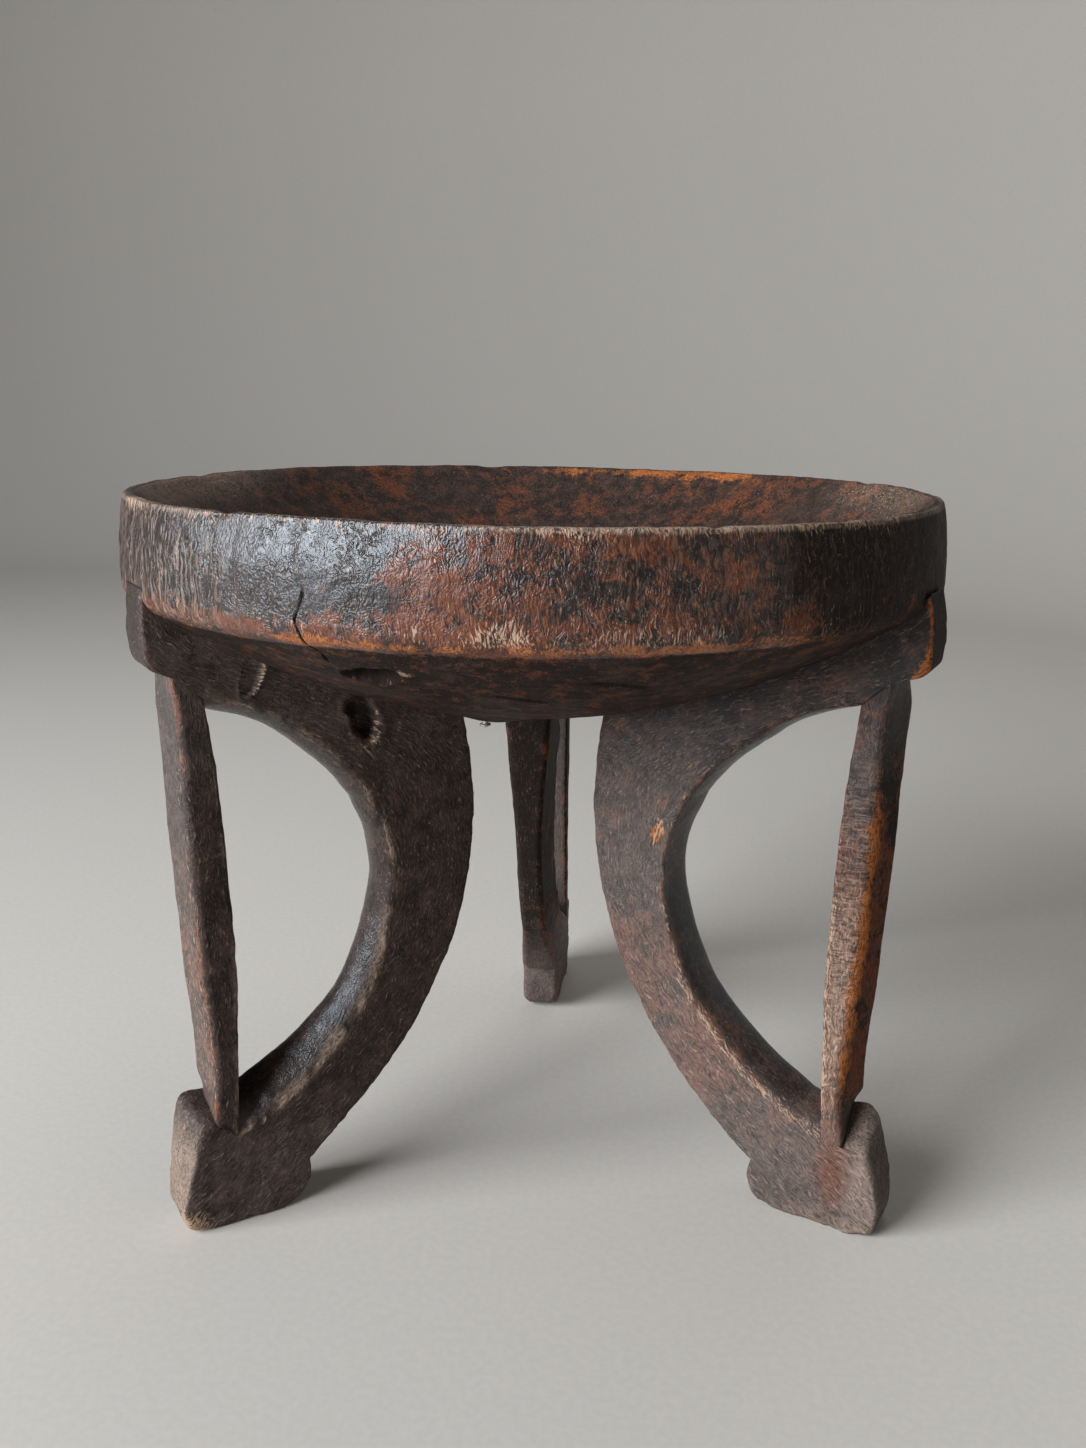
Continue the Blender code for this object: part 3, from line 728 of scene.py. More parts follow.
def leg_runs(leg):
    """Runs of the ring round the leg's opening, each as inner edge, middle, outer edge and the
    line down the middle of the opening's wall.

    The inner edge follows the opening and the outer edge the leg's silhouette. The middle is
    halfway, apart from the lug and the foot, where it is bent to stay inside the wood."""
    opening, back, sole, lug = (np.array(line, float) for line in (OPENING, BOW_BACK, SOLE, LUG))
    opening[:, 0] += leg["opening"] * np.sin(math.pi * np.linspace(0, 1, len(opening))) ** 2
    back[:, 0] += leg["back"] * np.sin(math.pi * np.linspace(0, 1, len(back)))
    back[-2:] += leg["heel"] * np.array(HEEL_BACK)
    sole[:4] += leg["heel"] * np.array(HEEL_REACH)
    sole[-4:, 0] += leg["toe"] * np.array(TOE_REACH)
    lug[:, 0] += leg["lug"] * np.array(LUG_REACH)
    lip = [(radius, share * leg["lip"] + rise) for radius, share, rise in TOE_LIP]
    seat_line = [(r, underside_level(r * MM) / MM + SEAT_BITE) for r in SEAT_LINE]
    seat_line[-1] = tuple(back[0])
    wall = wall_middle(leg, opening)
    strut_wall = np.array(STRUT_INNER, float) - (STRUT_CROWN, 0.0)
    strut_wall[1] += (0, STRUT_CORNER)
    strut_wall[0], strut_wall[-1] = wall[-1], wall[0]
    turns = [(1 - RAIL_TURN) * line[0] + RAIL_TURN * line[1] for line in (opening, wall)]
    rail = slice(1, RAIL_END + 1)
    root = slice(RAIL_END, ROOT_END + 1)
    bow = slice(ROOT_END, BOW_END + 1)
    runs = {"lug": ([opening[0], turns[0]], [wall[0], turns[1]], lug, LUG_MIDDLE),
            "rail": (np.vstack([turns[0], opening[rail]]), np.vstack([turns[1], wall[rail]]),
                     np.vstack([lug[-1:], seat_line[:4]]), None),
            "root": (opening[root], wall[root], seat_line[3:], None),
            "bow": (opening[bow], wall[bow], back, None),
            "foot": (opening[BOW_END:], wall[BOW_END:], sole.tolist() + lip, FOOT_MIDDLE),
            "strut": (STRUT_INNER, strut_wall, lip[-1:] + STRUT_OUTER, None)}
    sampled = {}
    for name, (*lines, middle) in runs.items():
        count = RUN_STEPS[name] + 1
        inner, crown, outer = (even_line(line, count) for line in lines)
        straight = (inner + outer) / 2
        if middle is None:
            middle = straight
        else:
            blend = np.sin(math.pi * np.linspace(0, 1, count))[:, None] ** 0.5
            middle = straight + blend * (even_line(middle, count) - straight)
        sampled[name] = (inner, middle, outer, crown)
    return sampled


def leg_halves(name, run, share):
    """Half thickness of a leg at its inner and outer edge, along one run."""
    inner = np.full_like(share, HALF_THICKNESS)
    outer = np.full_like(share, HALF_THICKNESS)
    arch = np.sin(math.pi * share)
    if run == "strut":
        inner = inner - 1.2 * arch
        outer = outer - 0.8 * arch
    if run == "foot":
        outer = outer - 1.0 * arch
    if name == "back" and run == "bow":
        outer = outer - 6.1 * smooth(share, 0.02, 0.46) + 4.0 * smooth(share, 0.74, 1.0)
        inner = inner - 1.5 * arch
    if name == "back" and run == "foot":
        outer = outer - 2.1 + 2.1 * smooth(share, 0.2, 0.6)
    return inner, outer


def leg_eases(run, share):
    """Radius of a leg's rounded edges at its inner and outer edge, along one run."""
    inner = np.full_like(share, INNER_EASE)
    outer = np.full_like(share, OUTER_EASE)
    if run == "strut":
        outer = outer + STRUT_EASE * smooth(share, 0.02, 0.2) * (1 - smooth(share, 0.8, 0.98))
    return inner, outer


def section_loop(width, half_in, half_out, ease_in, ease_out):
    """Rounded oblong of each ring, as distance from the inner edge and sideways offset.

    It runs over the near face, the outer wall, the far face and the opening's wall, with a
    quarter circle at each of its four corners."""
    face = np.linspace(0, 1, FACE_STEPS, endpoint=False)[None, :]
    wall = np.linspace(1, -1, WALL_STEPS, endpoint=False)[None, :]
    arc = np.linspace(0, math.pi / 2, CORNER_STEPS, endpoint=False)[None, :]
    width, half_in, half_out = width[:, None], half_in[:, None], half_out[:, None]
    ease_in, ease_out = ease_in[:, None], ease_out[:, None]

    def side(distance):
        return half_in + (half_out - half_in) * np.clip(distance / width, 0, 1)

    flat = width - ease_in - ease_out
    over = ease_in + flat * face
    back = width - ease_out - flat * face
    near_turn = width - ease_out + ease_out * np.sin(arc)
    far_turn = width - ease_out + ease_out * np.cos(arc)
    away_turn = ease_in - ease_in * np.sin(arc)
    home_turn = ease_in - ease_in * np.cos(arc)
    distance = [over, near_turn, width * np.ones_like(wall), far_turn, back, away_turn,
                width * np.zeros_like(wall), home_turn]
    sideways = [side(over), side(near_turn) - ease_out + ease_out * np.cos(arc),
                (half_out - ease_out) * wall, -side(far_turn) + ease_out - ease_out * np.sin(arc),
                -side(back), -side(away_turn) + ease_in - ease_in * np.cos(arc),
                -(half_in - ease_in) * wall, side(home_turn) - ease_in + ease_in * np.sin(arc)]
    return np.concatenate(distance, axis=1), np.concatenate(sideways, axis=1)


def leg_form(name):
    """Ring of rounded oblongs carried round one leg's opening, before its relief.

    Across the ring a point lies on the parabola through inner edge, middle and outer edge. Each
    leg stands at its bearing, its plank offset sideways, and near is the side turned to the
    camera. The opening and the bow's back are shifted at the waist, and the lug, the toe and
    the heel reach further. The crown of the opening's wall (top, waist, foot) is highest at tip
    (waist, foot), from -1 at the far side to 1. The strut's outer wall slants. The toe's lip has
    its level at the near side, rises to the far side, and its near corner is chopped off."""
    leg = LEGS[name]
    runs = leg_runs(leg)
    shares = {run: np.linspace(0, 1, count, endpoint=False) for run, count in RUN_STEPS.items()}
    inner, middle, outer, wall = (np.concatenate([lines[i][:-1] for lines in runs.values()])
                                  for i in range(4))
    sizes = [leg_halves(name, run, share) + leg_eases(run, share) for run, share in shares.items()]
    half_in, half_out, ease_in, ease_out = (np.concatenate(parts) for parts in zip(*sizes))
    share = np.concatenate(list(shares.values()))
    label = np.repeat(list(RUN_STEPS), list(RUN_STEPS.values()))
    here = {run: label == run for run in RUN_STEPS}

    width = np.linalg.norm(middle - inner, axis=1) + np.linalg.norm(outer - middle, axis=1)
    distance, sideways = section_loop(width, half_in, half_out, ease_in, ease_out)
    a = distance / width[:, None]
    plane = (((1 - a) * (1 - 2 * a))[..., None] * inner[:, None]
             + (4 * a * (1 - a))[..., None] * middle[:, None]
             + (a * (2 * a - 1))[..., None] * outer[:, None])
    half = half_in[:, None] + (half_out - half_in)[:, None] * a
    toward = (sideways / half) * leg["near"]

    low = (here["foot"] + here["bow"] * smooth(share, 0.6, 1.0)
           + here["strut"] * (1 - smooth(share, 0.0, 0.15)))
    tip = np.interp(low, [0, 1], leg["tip"])[:, None]
    climb = np.clip(np.minimum((1 - toward) / (1 - tip), (1 + toward) / (1 + tip)), 0, 1)
    bulge = climb * (2 - climb) * np.clip(1 - distance / ease_in[:, None], 0, 1)
    plane = plane + (wall - inner)[:, None] * bulge[..., None]
    skew = leg["slant"] * smooth(share, 0.0, 0.1) * (1 - smooth(share, 0.92, 1.0))
    plane[..., 0] -= (here["strut"] * skew)[:, None] * toward * smooth(a, 0.4, 1.0)
    crest = (here["foot"] * smooth(share, 0.78, 0.93)
             + here["strut"] * (1 - smooth(share, 0.0, 0.12)))
    rise = leg["rise"] * crest[:, None] * (1 - toward) / 2 * smooth(a, 0.55, 0.95)
    plane[..., 1] += rise
    plane[..., 0] -= LIP_LEAN * rise
    chop = leg["chop"] * here["foot"][:, None] * smooth(toward, -0.3, 1.0)
    plane[..., 0] -= chop * smooth(plane[..., 1], 4, 46) * smooth(plane[..., 0], 150, 172)

    out, aside = leaning(plane[..., 0] * MM, sideways * MM + leg["offset"], -leg["bearing"])
    points = np.stack([out, aside, plane[..., 1] * MM], axis=-1)
    edge = np.hypot(np.minimum(distance, width[:, None] - distance), half - np.abs(sideways)) * MM
    return SimpleNamespace(points=points, r=plane[..., 0], z=plane[..., 1], sideways=sideways,
                           a=a, toward=toward, edge=edge, here=here)


def leg_grain(leg, ring):
    """Places for the noises of the tool marks: the distance from the bow's middle line, the
    sideways offset, and the height, so that the marks run along the limb. The distance is
    the difference of the radii times the cosine of the line's lean. Struts keep the radius."""
    level = np.arange(-5.0, 301.0)
    line = np.interp(level, *zip(*GRAIN_LINE))
    lean = np.cos(np.arctan(np.gradient(line)))
    across = (ring.r - np.interp(ring.z, level, line)) * np.interp(ring.z, level, lean)
    across = np.where(ring.here["strut"][:, None], ring.r, across)
    return np.stack([across, ring.sideways + leg["bearing"], ring.z], axis=-1) * MM


def gouge_share(points, ring, gouge):
    """Distance from a gouge's middle, as a share of its leaning oval, roughened by noise."""
    r_mid, z_mid, r_half, z_half, lean = gouge
    across, along = leaning(ring.r - r_mid, ring.z - z_mid, lean)
    return np.hypot(across / r_half, along / z_half) * (1 - 0.2 * rough(points, 0.005, 91, 2))


def leg_relief(name, ring):
    """Tool marks, worn edges, worn feet and gouges of a leg, as a rise along the normals."""
    points, seed = ring.points, LEGS[name]["seed"]
    near = smooth(ring.toward, 0.55, 0.95)
    worn = hump(ring.edge, 0.0, EDGE_WIDTH) * (1 - 0.45 * ring.here["strut"][:, None])
    relief = LEG_RISE * rough(points, 0.020, seed, 3)
    relief += LEG_GRIT * rough(points, 0.0055, seed + 1, 2)
    relief -= EDGE_WEAR * worn * smooth(rough(points, 0.007, seed + 2, 3), 0.1, 0.9)
    relief += EDGE_GRIT * worn * rough(points, 0.0036, seed + 3, 2)
    relief += FOOT_WEAR * (1 - smooth(ring.z, 28, 60)) * rough(points, 0.008, seed + 4, 3)
    for *oval, depth in LEG_GOUGES.get(name, ()):
        share = gouge_share(points, ring, oval)
        torn = 1 + 0.35 * rough(points, (0.003, 0.003, 0.008), seed + 5, 2)
        relief -= depth * near * (1 - smooth(share, 0.60, 1.02)) * torn
        relief += GOUGE_LIP * near * hump(share, 1.15, 0.14)
    return relief


def leg_pieces(name):
    """One leg: its ring with the relief laid along the normals, cut into bracket, bow, foot and
    strut. Each cut end is closed by a fan, and the normals come from the whole ring, so that
    the borders don't show."""
    ring = leg_form(name)
    points = ring.points + grid_normals(ring.points, True) * leg_relief(name, ring)[..., None]
    points[..., 2] = np.maximum(points[..., 2], 0.0)
    normals = grid_normals(points, True)
    paints = leg_paints(name, points, ring)
    paints["grain"] = leg_grain(LEGS[name], ring)
    rows, columns = points.shape[:2]
    loop = np.arange(columns)
    pieces = []
    first = 0
    for member, runs in MEMBERS.items():
        last = first + sum(RUN_STEPS[run] for run in runs)
        span = np.arange(first, last + 1) % rows
        first = last
        count = len(span) * columns
        skin = points[span].reshape(count, 3)
        caps = [skin[:columns].mean(axis=0), skin[-columns:].mean(axis=0)]
        facing = np.vstack([normals[span].reshape(count, 3), [[0, 0, 1], [0, 0, 1]]])
        coats = {label: grid[span].reshape(count, -1) for label, grid in paints.items()}
        coats = {label: np.vstack([grid, grid[[0, -1]]]) for label, grid in coats.items()}
        triangles = np.concatenate([ring_fan(loop, count),
                                    ring_fan((loop + count - columns)[::-1], count + 1)])
        piece = add_mesh(name + "_leg_" + member, np.vstack([skin, caps]),
                         grid_quads(len(span), columns), triangles, facing, coats)
        pieces.append((piece, name + "_" + member))
    return pieces


def leg_places(name, points, ring):
    """The places of a leg that wear differs by, each as a share from 0 to 1 at every point, and
    the noises that break them up."""
    seed = LEGS[name]["seed"] + PAINT_SEED
    outer = smooth(ring.a, 0.72, 0.98)
    inner = 1 - smooth(ring.a, 0.02, 0.25)
    wall = 1 - smooth(np.abs(ring.toward), 0.80, 0.97)
    return SimpleNamespace(
        outer=outer, inner=inner, outer_wall=outer * wall, opening_wall=inner * wall,
        patch=rough(points, 0.020, seed, 3),
        flow=rough(points, (0.004, 0.004, 0.018), seed + 1, 3),
        near=smooth(ring.toward, 0.6, 0.98),
        worn=hump(ring.edge, 0.0, EDGE_WIDTH),
        near_edge=inner * hump(ring.edge, 0.0, EDGE_WIDTH) * smooth(ring.toward, 0.2, 0.8),
        ridge=hump(ring.edge, 0.0, 0.0032) * outer * smooth(ring.toward, 0.3, 0.9),
        far_ridge=hump(ring.edge, 0.0, 0.0030) * outer * smooth(-ring.toward, 0.3, 0.9),
        strut=ring.here["strut"][:, None] * smooth(ring.z, 44, 66),
        lug=ring.here["lug"][:, None] * 1.0,
        foot=1 - smooth(ring.z, 26, 64),
        top=smooth(ring.z, 190, 245))


def leg_paints(name, points, ring):
    """Wear of a leg, with some painted light and shade: what all three share, then the leg's own.
    """
    at = leg_places(name, points, ring)
    skin = Skin(ring.z.shape)
    skin.lay(1.0, red=0.12, dark=0.36, grey=0.10, polish=0.45, curly=0.60, hairs=0.64)
    skin.lay(at.patch, red=0.14, dark=-0.18)
    skin.lay(at.worn, red=0.22, tan=0.10)
    skin.lay(at.worn * at.outer, orange=0.12)
    skin.lay(at.worn * at.inner * (0.4 + at.flow), tan=0.14)
    skin.lay(at.top, dark=0.25)
    skin.lay(at.foot, grey=0.40, polish=-0.22, hairs=0.20)
    skin.lay(at.foot * hump(ring.z, 0.0, 6.0), pale=0.10)
    skin.lay(at.opening_wall, polish=0.50, hairs=-0.40)
    own_paints = {"left": left_wear_and_shading, "right": right_wear_and_shading, "back": back_wear_and_shading}
    own_paints[name](skin, at, points, ring)
    return skin.paints()


def left_wear_and_shading(skin, at, points, ring):
    """Left leg: red ridge and rubbed wall of the strut, pale toe, a grey painted sheen on the upper
    near face, a floor of the opening darkened as painted shadow of the strut over dark patina, with
    a pale edge that is worn and painted with highlight glints, and torn rims round the gouges."""
    rubbed = at.outer_wall * at.strut
    low = 1 - smooth(ring.z, 100, 210)
    toe = at.outer_wall * at.foot * smooth(ring.r, 165, 176)
    tip = hump(np.hypot(ring.r - 177.0, ring.z - 4.0), 0.0, 8.0) * smooth(ring.toward, 0.0, 0.8)
    # Floor of the opening, which lies in the strut's shadow
    floor = at.opening_wall * (1 - smooth(ring.z, 50, 80)) * (1 - smooth(ring.toward, 0.2, 0.7))
    broken = smooth(at.flow, -0.5, 0.4)
    skin.lay(at.ridge * at.strut * smooth(at.flow, -0.6, 0.4), red=0.62)
    skin.lay(rubbed, red=0.04, grey=0.17, polish=0.25)
    skin.lay(rubbed * low, red=0.26, tan=0.22, pale=0.16, grey=0.14, dark=-0.2, polish=-0.25)
    skin.lay(toe, tan=0.20, pale=0.80, grey=0.70, dark=-0.2)
    skin.lay(tip, tan=0.95)
    skin.lay(at.near, red=-0.10, grey=-0.05, polish=-0.16, hairs=-0.14)
    skin.lay(at.near * at.foot, grey=-0.10)
    # Painted sheen and light: grey and lighter on the upper near face, which the key lamp barely
    # reaches
    skin.lay(at.near * at.top, grey=0.22, dark=-0.10)
    skin.lay(at.lug * at.outer_wall, dark=0.70)
    skin.lay(at.opening_wall, polish=-0.14)
    # Painted shadow of the strut over dark patina: the opening's floor darker, duller and less grey
    skin.lay(floor, dark=0.5, grey=-0.4, polish=-0.6, hairs=-0.4)
    skin.lay(at.worn * at.inner, red=-0.26)
    # Pale along the opening's near edge: worn wood, and painted highlight glints along the arris
    skin.lay(at.near_edge * broken * (0.45 + 0.5 * low), pale=1)
    for *oval, depth in LEG_GOUGES["left"]:
        share = gouge_share(points, ring, oval)
        hollow = at.near * (1 - smooth(share, 0.6, 1.0))
        half_torn = 0.25 + 0.75 * (ring.r < oval[0])
        skin.lay(hump(share, 1.05, 0.24) * at.near * half_torn * broken, tan=0.85)
        skin.lay(at.near * (1 - smooth(share, 0.8, 1.4)), hairs=0.4)
        if depth > DEEP_GOUGE:
            skin.lay(hollow, dark=0.4, red=0.7)
        else:
            skin.lay(hollow, dark=0.1, red=0.1)
            skin.lay(at.near * (1 - smooth(share, 0.7, 1.2)), grey=0.5)


def right_wear_and_shading(skin, at, points, ring):
    """Right leg: lit face with dust and a scar, pale toe, bare red patch over the sole, ribbed and
    worn strut with an orange ridge and a warm wall, darkened as painted shade like the opening's
    wall and the lug's outer face, and an orange edge of the lug."""
    r, z, toward = ring.r, ring.z, ring.toward
    lit = at.near * (1 - at.strut)
    toe = at.near * at.foot * smooth(r, 162, 173)
    heel = lit * hump(np.hypot((r - 138) / 19, (z - 27) / 17), 0.0, 1.0)
    bare = at.near * hump(np.hypot((r - 161) / 7, (z - 28) / 15), 0.0, 1.0)
    ledge = at.outer * ring.here["foot"][:, None] * window(z, 38, 56, 3) * (1 - smooth(r, 174, 177))
    scar = at.near * (1 - smooth(gouge_share(points, ring, SCAR), 0.45, 1.05))
    spot = at.near * hump(np.hypot((r - 75.5) / 3.5, (z - 187) / 5), 0.0, 1.0)
    skin.lay(lit * (0.08 + 0.30 * window(z, 48, 135, 25)), red=1)
    skin.lay(lit * window(z, 45, 110, 20), tan=0.16)
    skin.lay(lit * (1 - smooth(z, 160, 225)) * (1 - 0.5 * at.foot), grey=0.48)
    skin.lay(lit * (1 - at.top), dark=-0.22)
    skin.lay(toe, tan=0.22, pale=0.28, grey=0.36, dark=-0.25)
    skin.lay(toe * at.flow, pale=0.28)
    skin.lay(ledge, pale=0.40, grey=0.30)
    skin.lay(at.near * hump(z, 2.0, 4.5) * smooth(r, 140, 160), pale=0.40)
    skin.fade(0.8 * bare, "pale")
    skin.lay(bare, red=1.0, orange=0.22, grey=-0.35, dark=-0.4)
    skin.lay(heel, dark=0.40)
    skin.lay(scar, orange=0.80, tan=0.50, hairs=0.3)
    skin.lay(spot, red=0.3, orange=0.25)
    # Painted shade: darker on the opening's wall, which faces away from the key lamp
    skin.lay(at.opening_wall, dark=0.30)
    skin.lay(at.near_edge * (1 - at.top), tan=0.20)

    side = at.near * at.strut
    wall = at.outer_wall * at.strut
    warm = wall * window(z, 55, 215, 30)
    high = smooth(z, 165, 215)
    glow = at.strut * smooth(ring.a, 0.45, 0.98) * smooth(toward, 0.1, 0.85)
    skin.lay(side, red=0.52, grey=0.16, dark=-0.3)
    skin.lay(side * high, red=-0.34, grey=0.06, dark=0.3)
    skin.lay(side * window(z, 58, 140, 25), orange=0.22)
    skin.lay(side * window(z, 58, 165, 25), tan=0.34)
    skin.lay(side * window(z, 58, 150, 35), pale=0.66)
    skin.lay(side * window(z, 105, 215, 25), ribs=1)
    skin.lay(glow * (0.62 + 0.3 * at.flow) * window(z, 62, 205, 25), orange=1)
    # Painted shade: darker on the strut's outer wall, which faces away from the key lamp
    skin.lay(wall, dark=0.42)
    skin.lay(warm, red=0.42, dark=-0.24, grey=-0.10, hairs=-0.75, curly=-0.5, polish=-0.40)
    skin.lay(warm * smooth(toward, -0.9, 0.4), orange=0.12)
    # Painted shade: darker on the lug's outer face, which faces away from the key lamp
    skin.lay(at.lug * at.outer_wall, dark=0.6, polish=-0.45, hairs=-0.5, grey=-0.1)
    skin.lay(at.lug * at.ridge * smooth(at.flow, -0.7, 0.2), orange=0.75)
    skin.lay(at.lug * at.outer * hump(z, 254.0, 6.0), orange=0.55)


def back_wear_and_shading(skin, at, points, ring):
    """Back leg: darkened as painted shade and dull above its foot, with a grey painted sheen on the
    inner wall of the strut.
    """
    above = smooth(ring.z, 40, 90)
    sheen_slat = at.opening_wall * at.strut
    skin.lay(1.0, red=0.05, hairs=-0.45)
    skin.lay(at.ridge * at.strut, red=0.15, orange=0.15)
    skin.lay(at.far_ridge * at.strut, red=0.15)
    # Painted shade: darker above the foot, where the leg stands in shade
    skin.lay(above, dark=0.50, polish=-0.40)
    # The strut's inner wall is kept out of the painted shade, and its grey is a painted sheen
    skin.lay(above * sheen_slat, dark=-0.55)
    skin.lay(sheen_slat, hairs=0.25, grey=0.55)
    skin.lay(at.near, red=0.20, grey=-0.1)
    skin.lay(at.foot, grey=0.25)


def nail_piece():
    """Old nail: a turned section of shank and domed head, dented by noise, below the seat."""
    place = polar(NAIL_BEARING, NAIL_RADIUS, underside_level(NAIL_RADIUS) - NAIL_DROP)
    section = even_line(NAIL_SECTION, NAIL_ROWS)
    turn = np.linspace(0, 2 * math.pi, NAIL_COLUMNS, endpoint=False)[None, :]
    radius = section[:, :1] * NAIL_HEAD
    level = section[:, 1:] * MM + 0 * turn
    points = np.stack([radius * np.cos(turn), radius * np.sin(turn), level], axis=-1)
    points = points * (1 + NAIL_DENTS * rough(points, 0.0016, 81, 2))[..., None] + place
    return turned_mesh("old_nail", points, {})


class Finish:
    """A material's node tree, with short calls for the nodes that the finishes share."""

    def __init__(self, name):
        self.material = bpy.data.materials.new(name)
        self.material.use_nodes = True
        self.tree = self.material.node_tree
        self.shader = self.tree.nodes["Principled BSDF"]

    def node(self, kind, inputs=None, **settings):
        """New node with its settings made and its inputs fed."""
        made = self.tree.nodes.new(kind)
        for key, value in settings.items():
            setattr(made, key, value)
        for key, value in (inputs or {}).items():
            self.feed(made.inputs[key], value)
        return made

    def feed(self, socket, value):
        """Link a socket to another, or set its constant."""
        if isinstance(value, bpy.types.NodeSocket):
            self.tree.links.new(value, socket)
        else:
            socket.default_value = value

    def give(self, **inputs):
        """Feed the shader's inputs, named with underscores for spaces."""
        for key, value in inputs.items():
            self.feed(self.shader.inputs[key.replace("_", " ")], value)

    def place(self):
        """Object coordinates."""
        return self.node("ShaderNodeTexCoord").outputs["Object"]

    def scaled(self, vector, scale):
        """A vector with its three parts scaled."""
        return self.node("ShaderNodeMapping", {"Vector": vector, "Scale": scale}).outputs[0]

    def grain(self, vector, scale, detail=3.0, roughness=0.6, distortion=0.0):
        """Noise texture's value."""
        inputs = {"Vector": vector, "Scale": scale, "Detail": detail, "Roughness": roughness,
                  "Distortion": distortion}
        return self.node("ShaderNodeTexNoise", inputs).outputs[0]

    def step(self, value, low, high, bottom=0.0, top=1.0):
        """Value mapped smoothly from low..high to bottom..top."""
        inputs = {"Value": value, "From Min": low, "From Max": high, "To Min": bottom,
                  "To Max": top}
        made = self.node("ShaderNodeMapRange", inputs, interpolation_type="SMOOTHSTEP")
        return made.outputs[0]

    def calc(self, kind, *values):
        """Arithmetic of up to three values."""
        return self.node("ShaderNodeMath", dict(enumerate(values)), operation=kind).outputs[0]

    def times(self, first, second):
        """Product of two values."""
        return self.calc("MULTIPLY", first, second)

    def plus(self, value, factor, rest):
        """Value times factor, plus the rest."""
        return self.calc("MULTIPLY_ADD", value, factor, rest)

    def colour(self, share, under, over):
        """One colour laid over another by a share."""
        made = self.node("ShaderNodeMix", {0: share}, data_type="RGBA", clamp_factor=True)
        for socket, tone in ((6, under), (7, over)):
            self.feed(made.inputs[socket], (*tone, 1) if isinstance(tone, tuple) else tone)
        return made.outputs[2]

    def paints(self, name):
        """The four channels of a colour attribute."""
        layer = self.node("ShaderNodeAttribute", attribute_name=name)
        parts = self.node("ShaderNodeSeparateColor", {0: layer.outputs["Color"]})
        return *parts.outputs, layer.outputs["Alpha"]

    def bump(self, height, strength, distance):
        """Normal tilted by a height."""
        inputs = {"Height": height, "Strength": strength, "Distance": distance}
        return self.node("ShaderNodeBump", inputs).outputs[0]


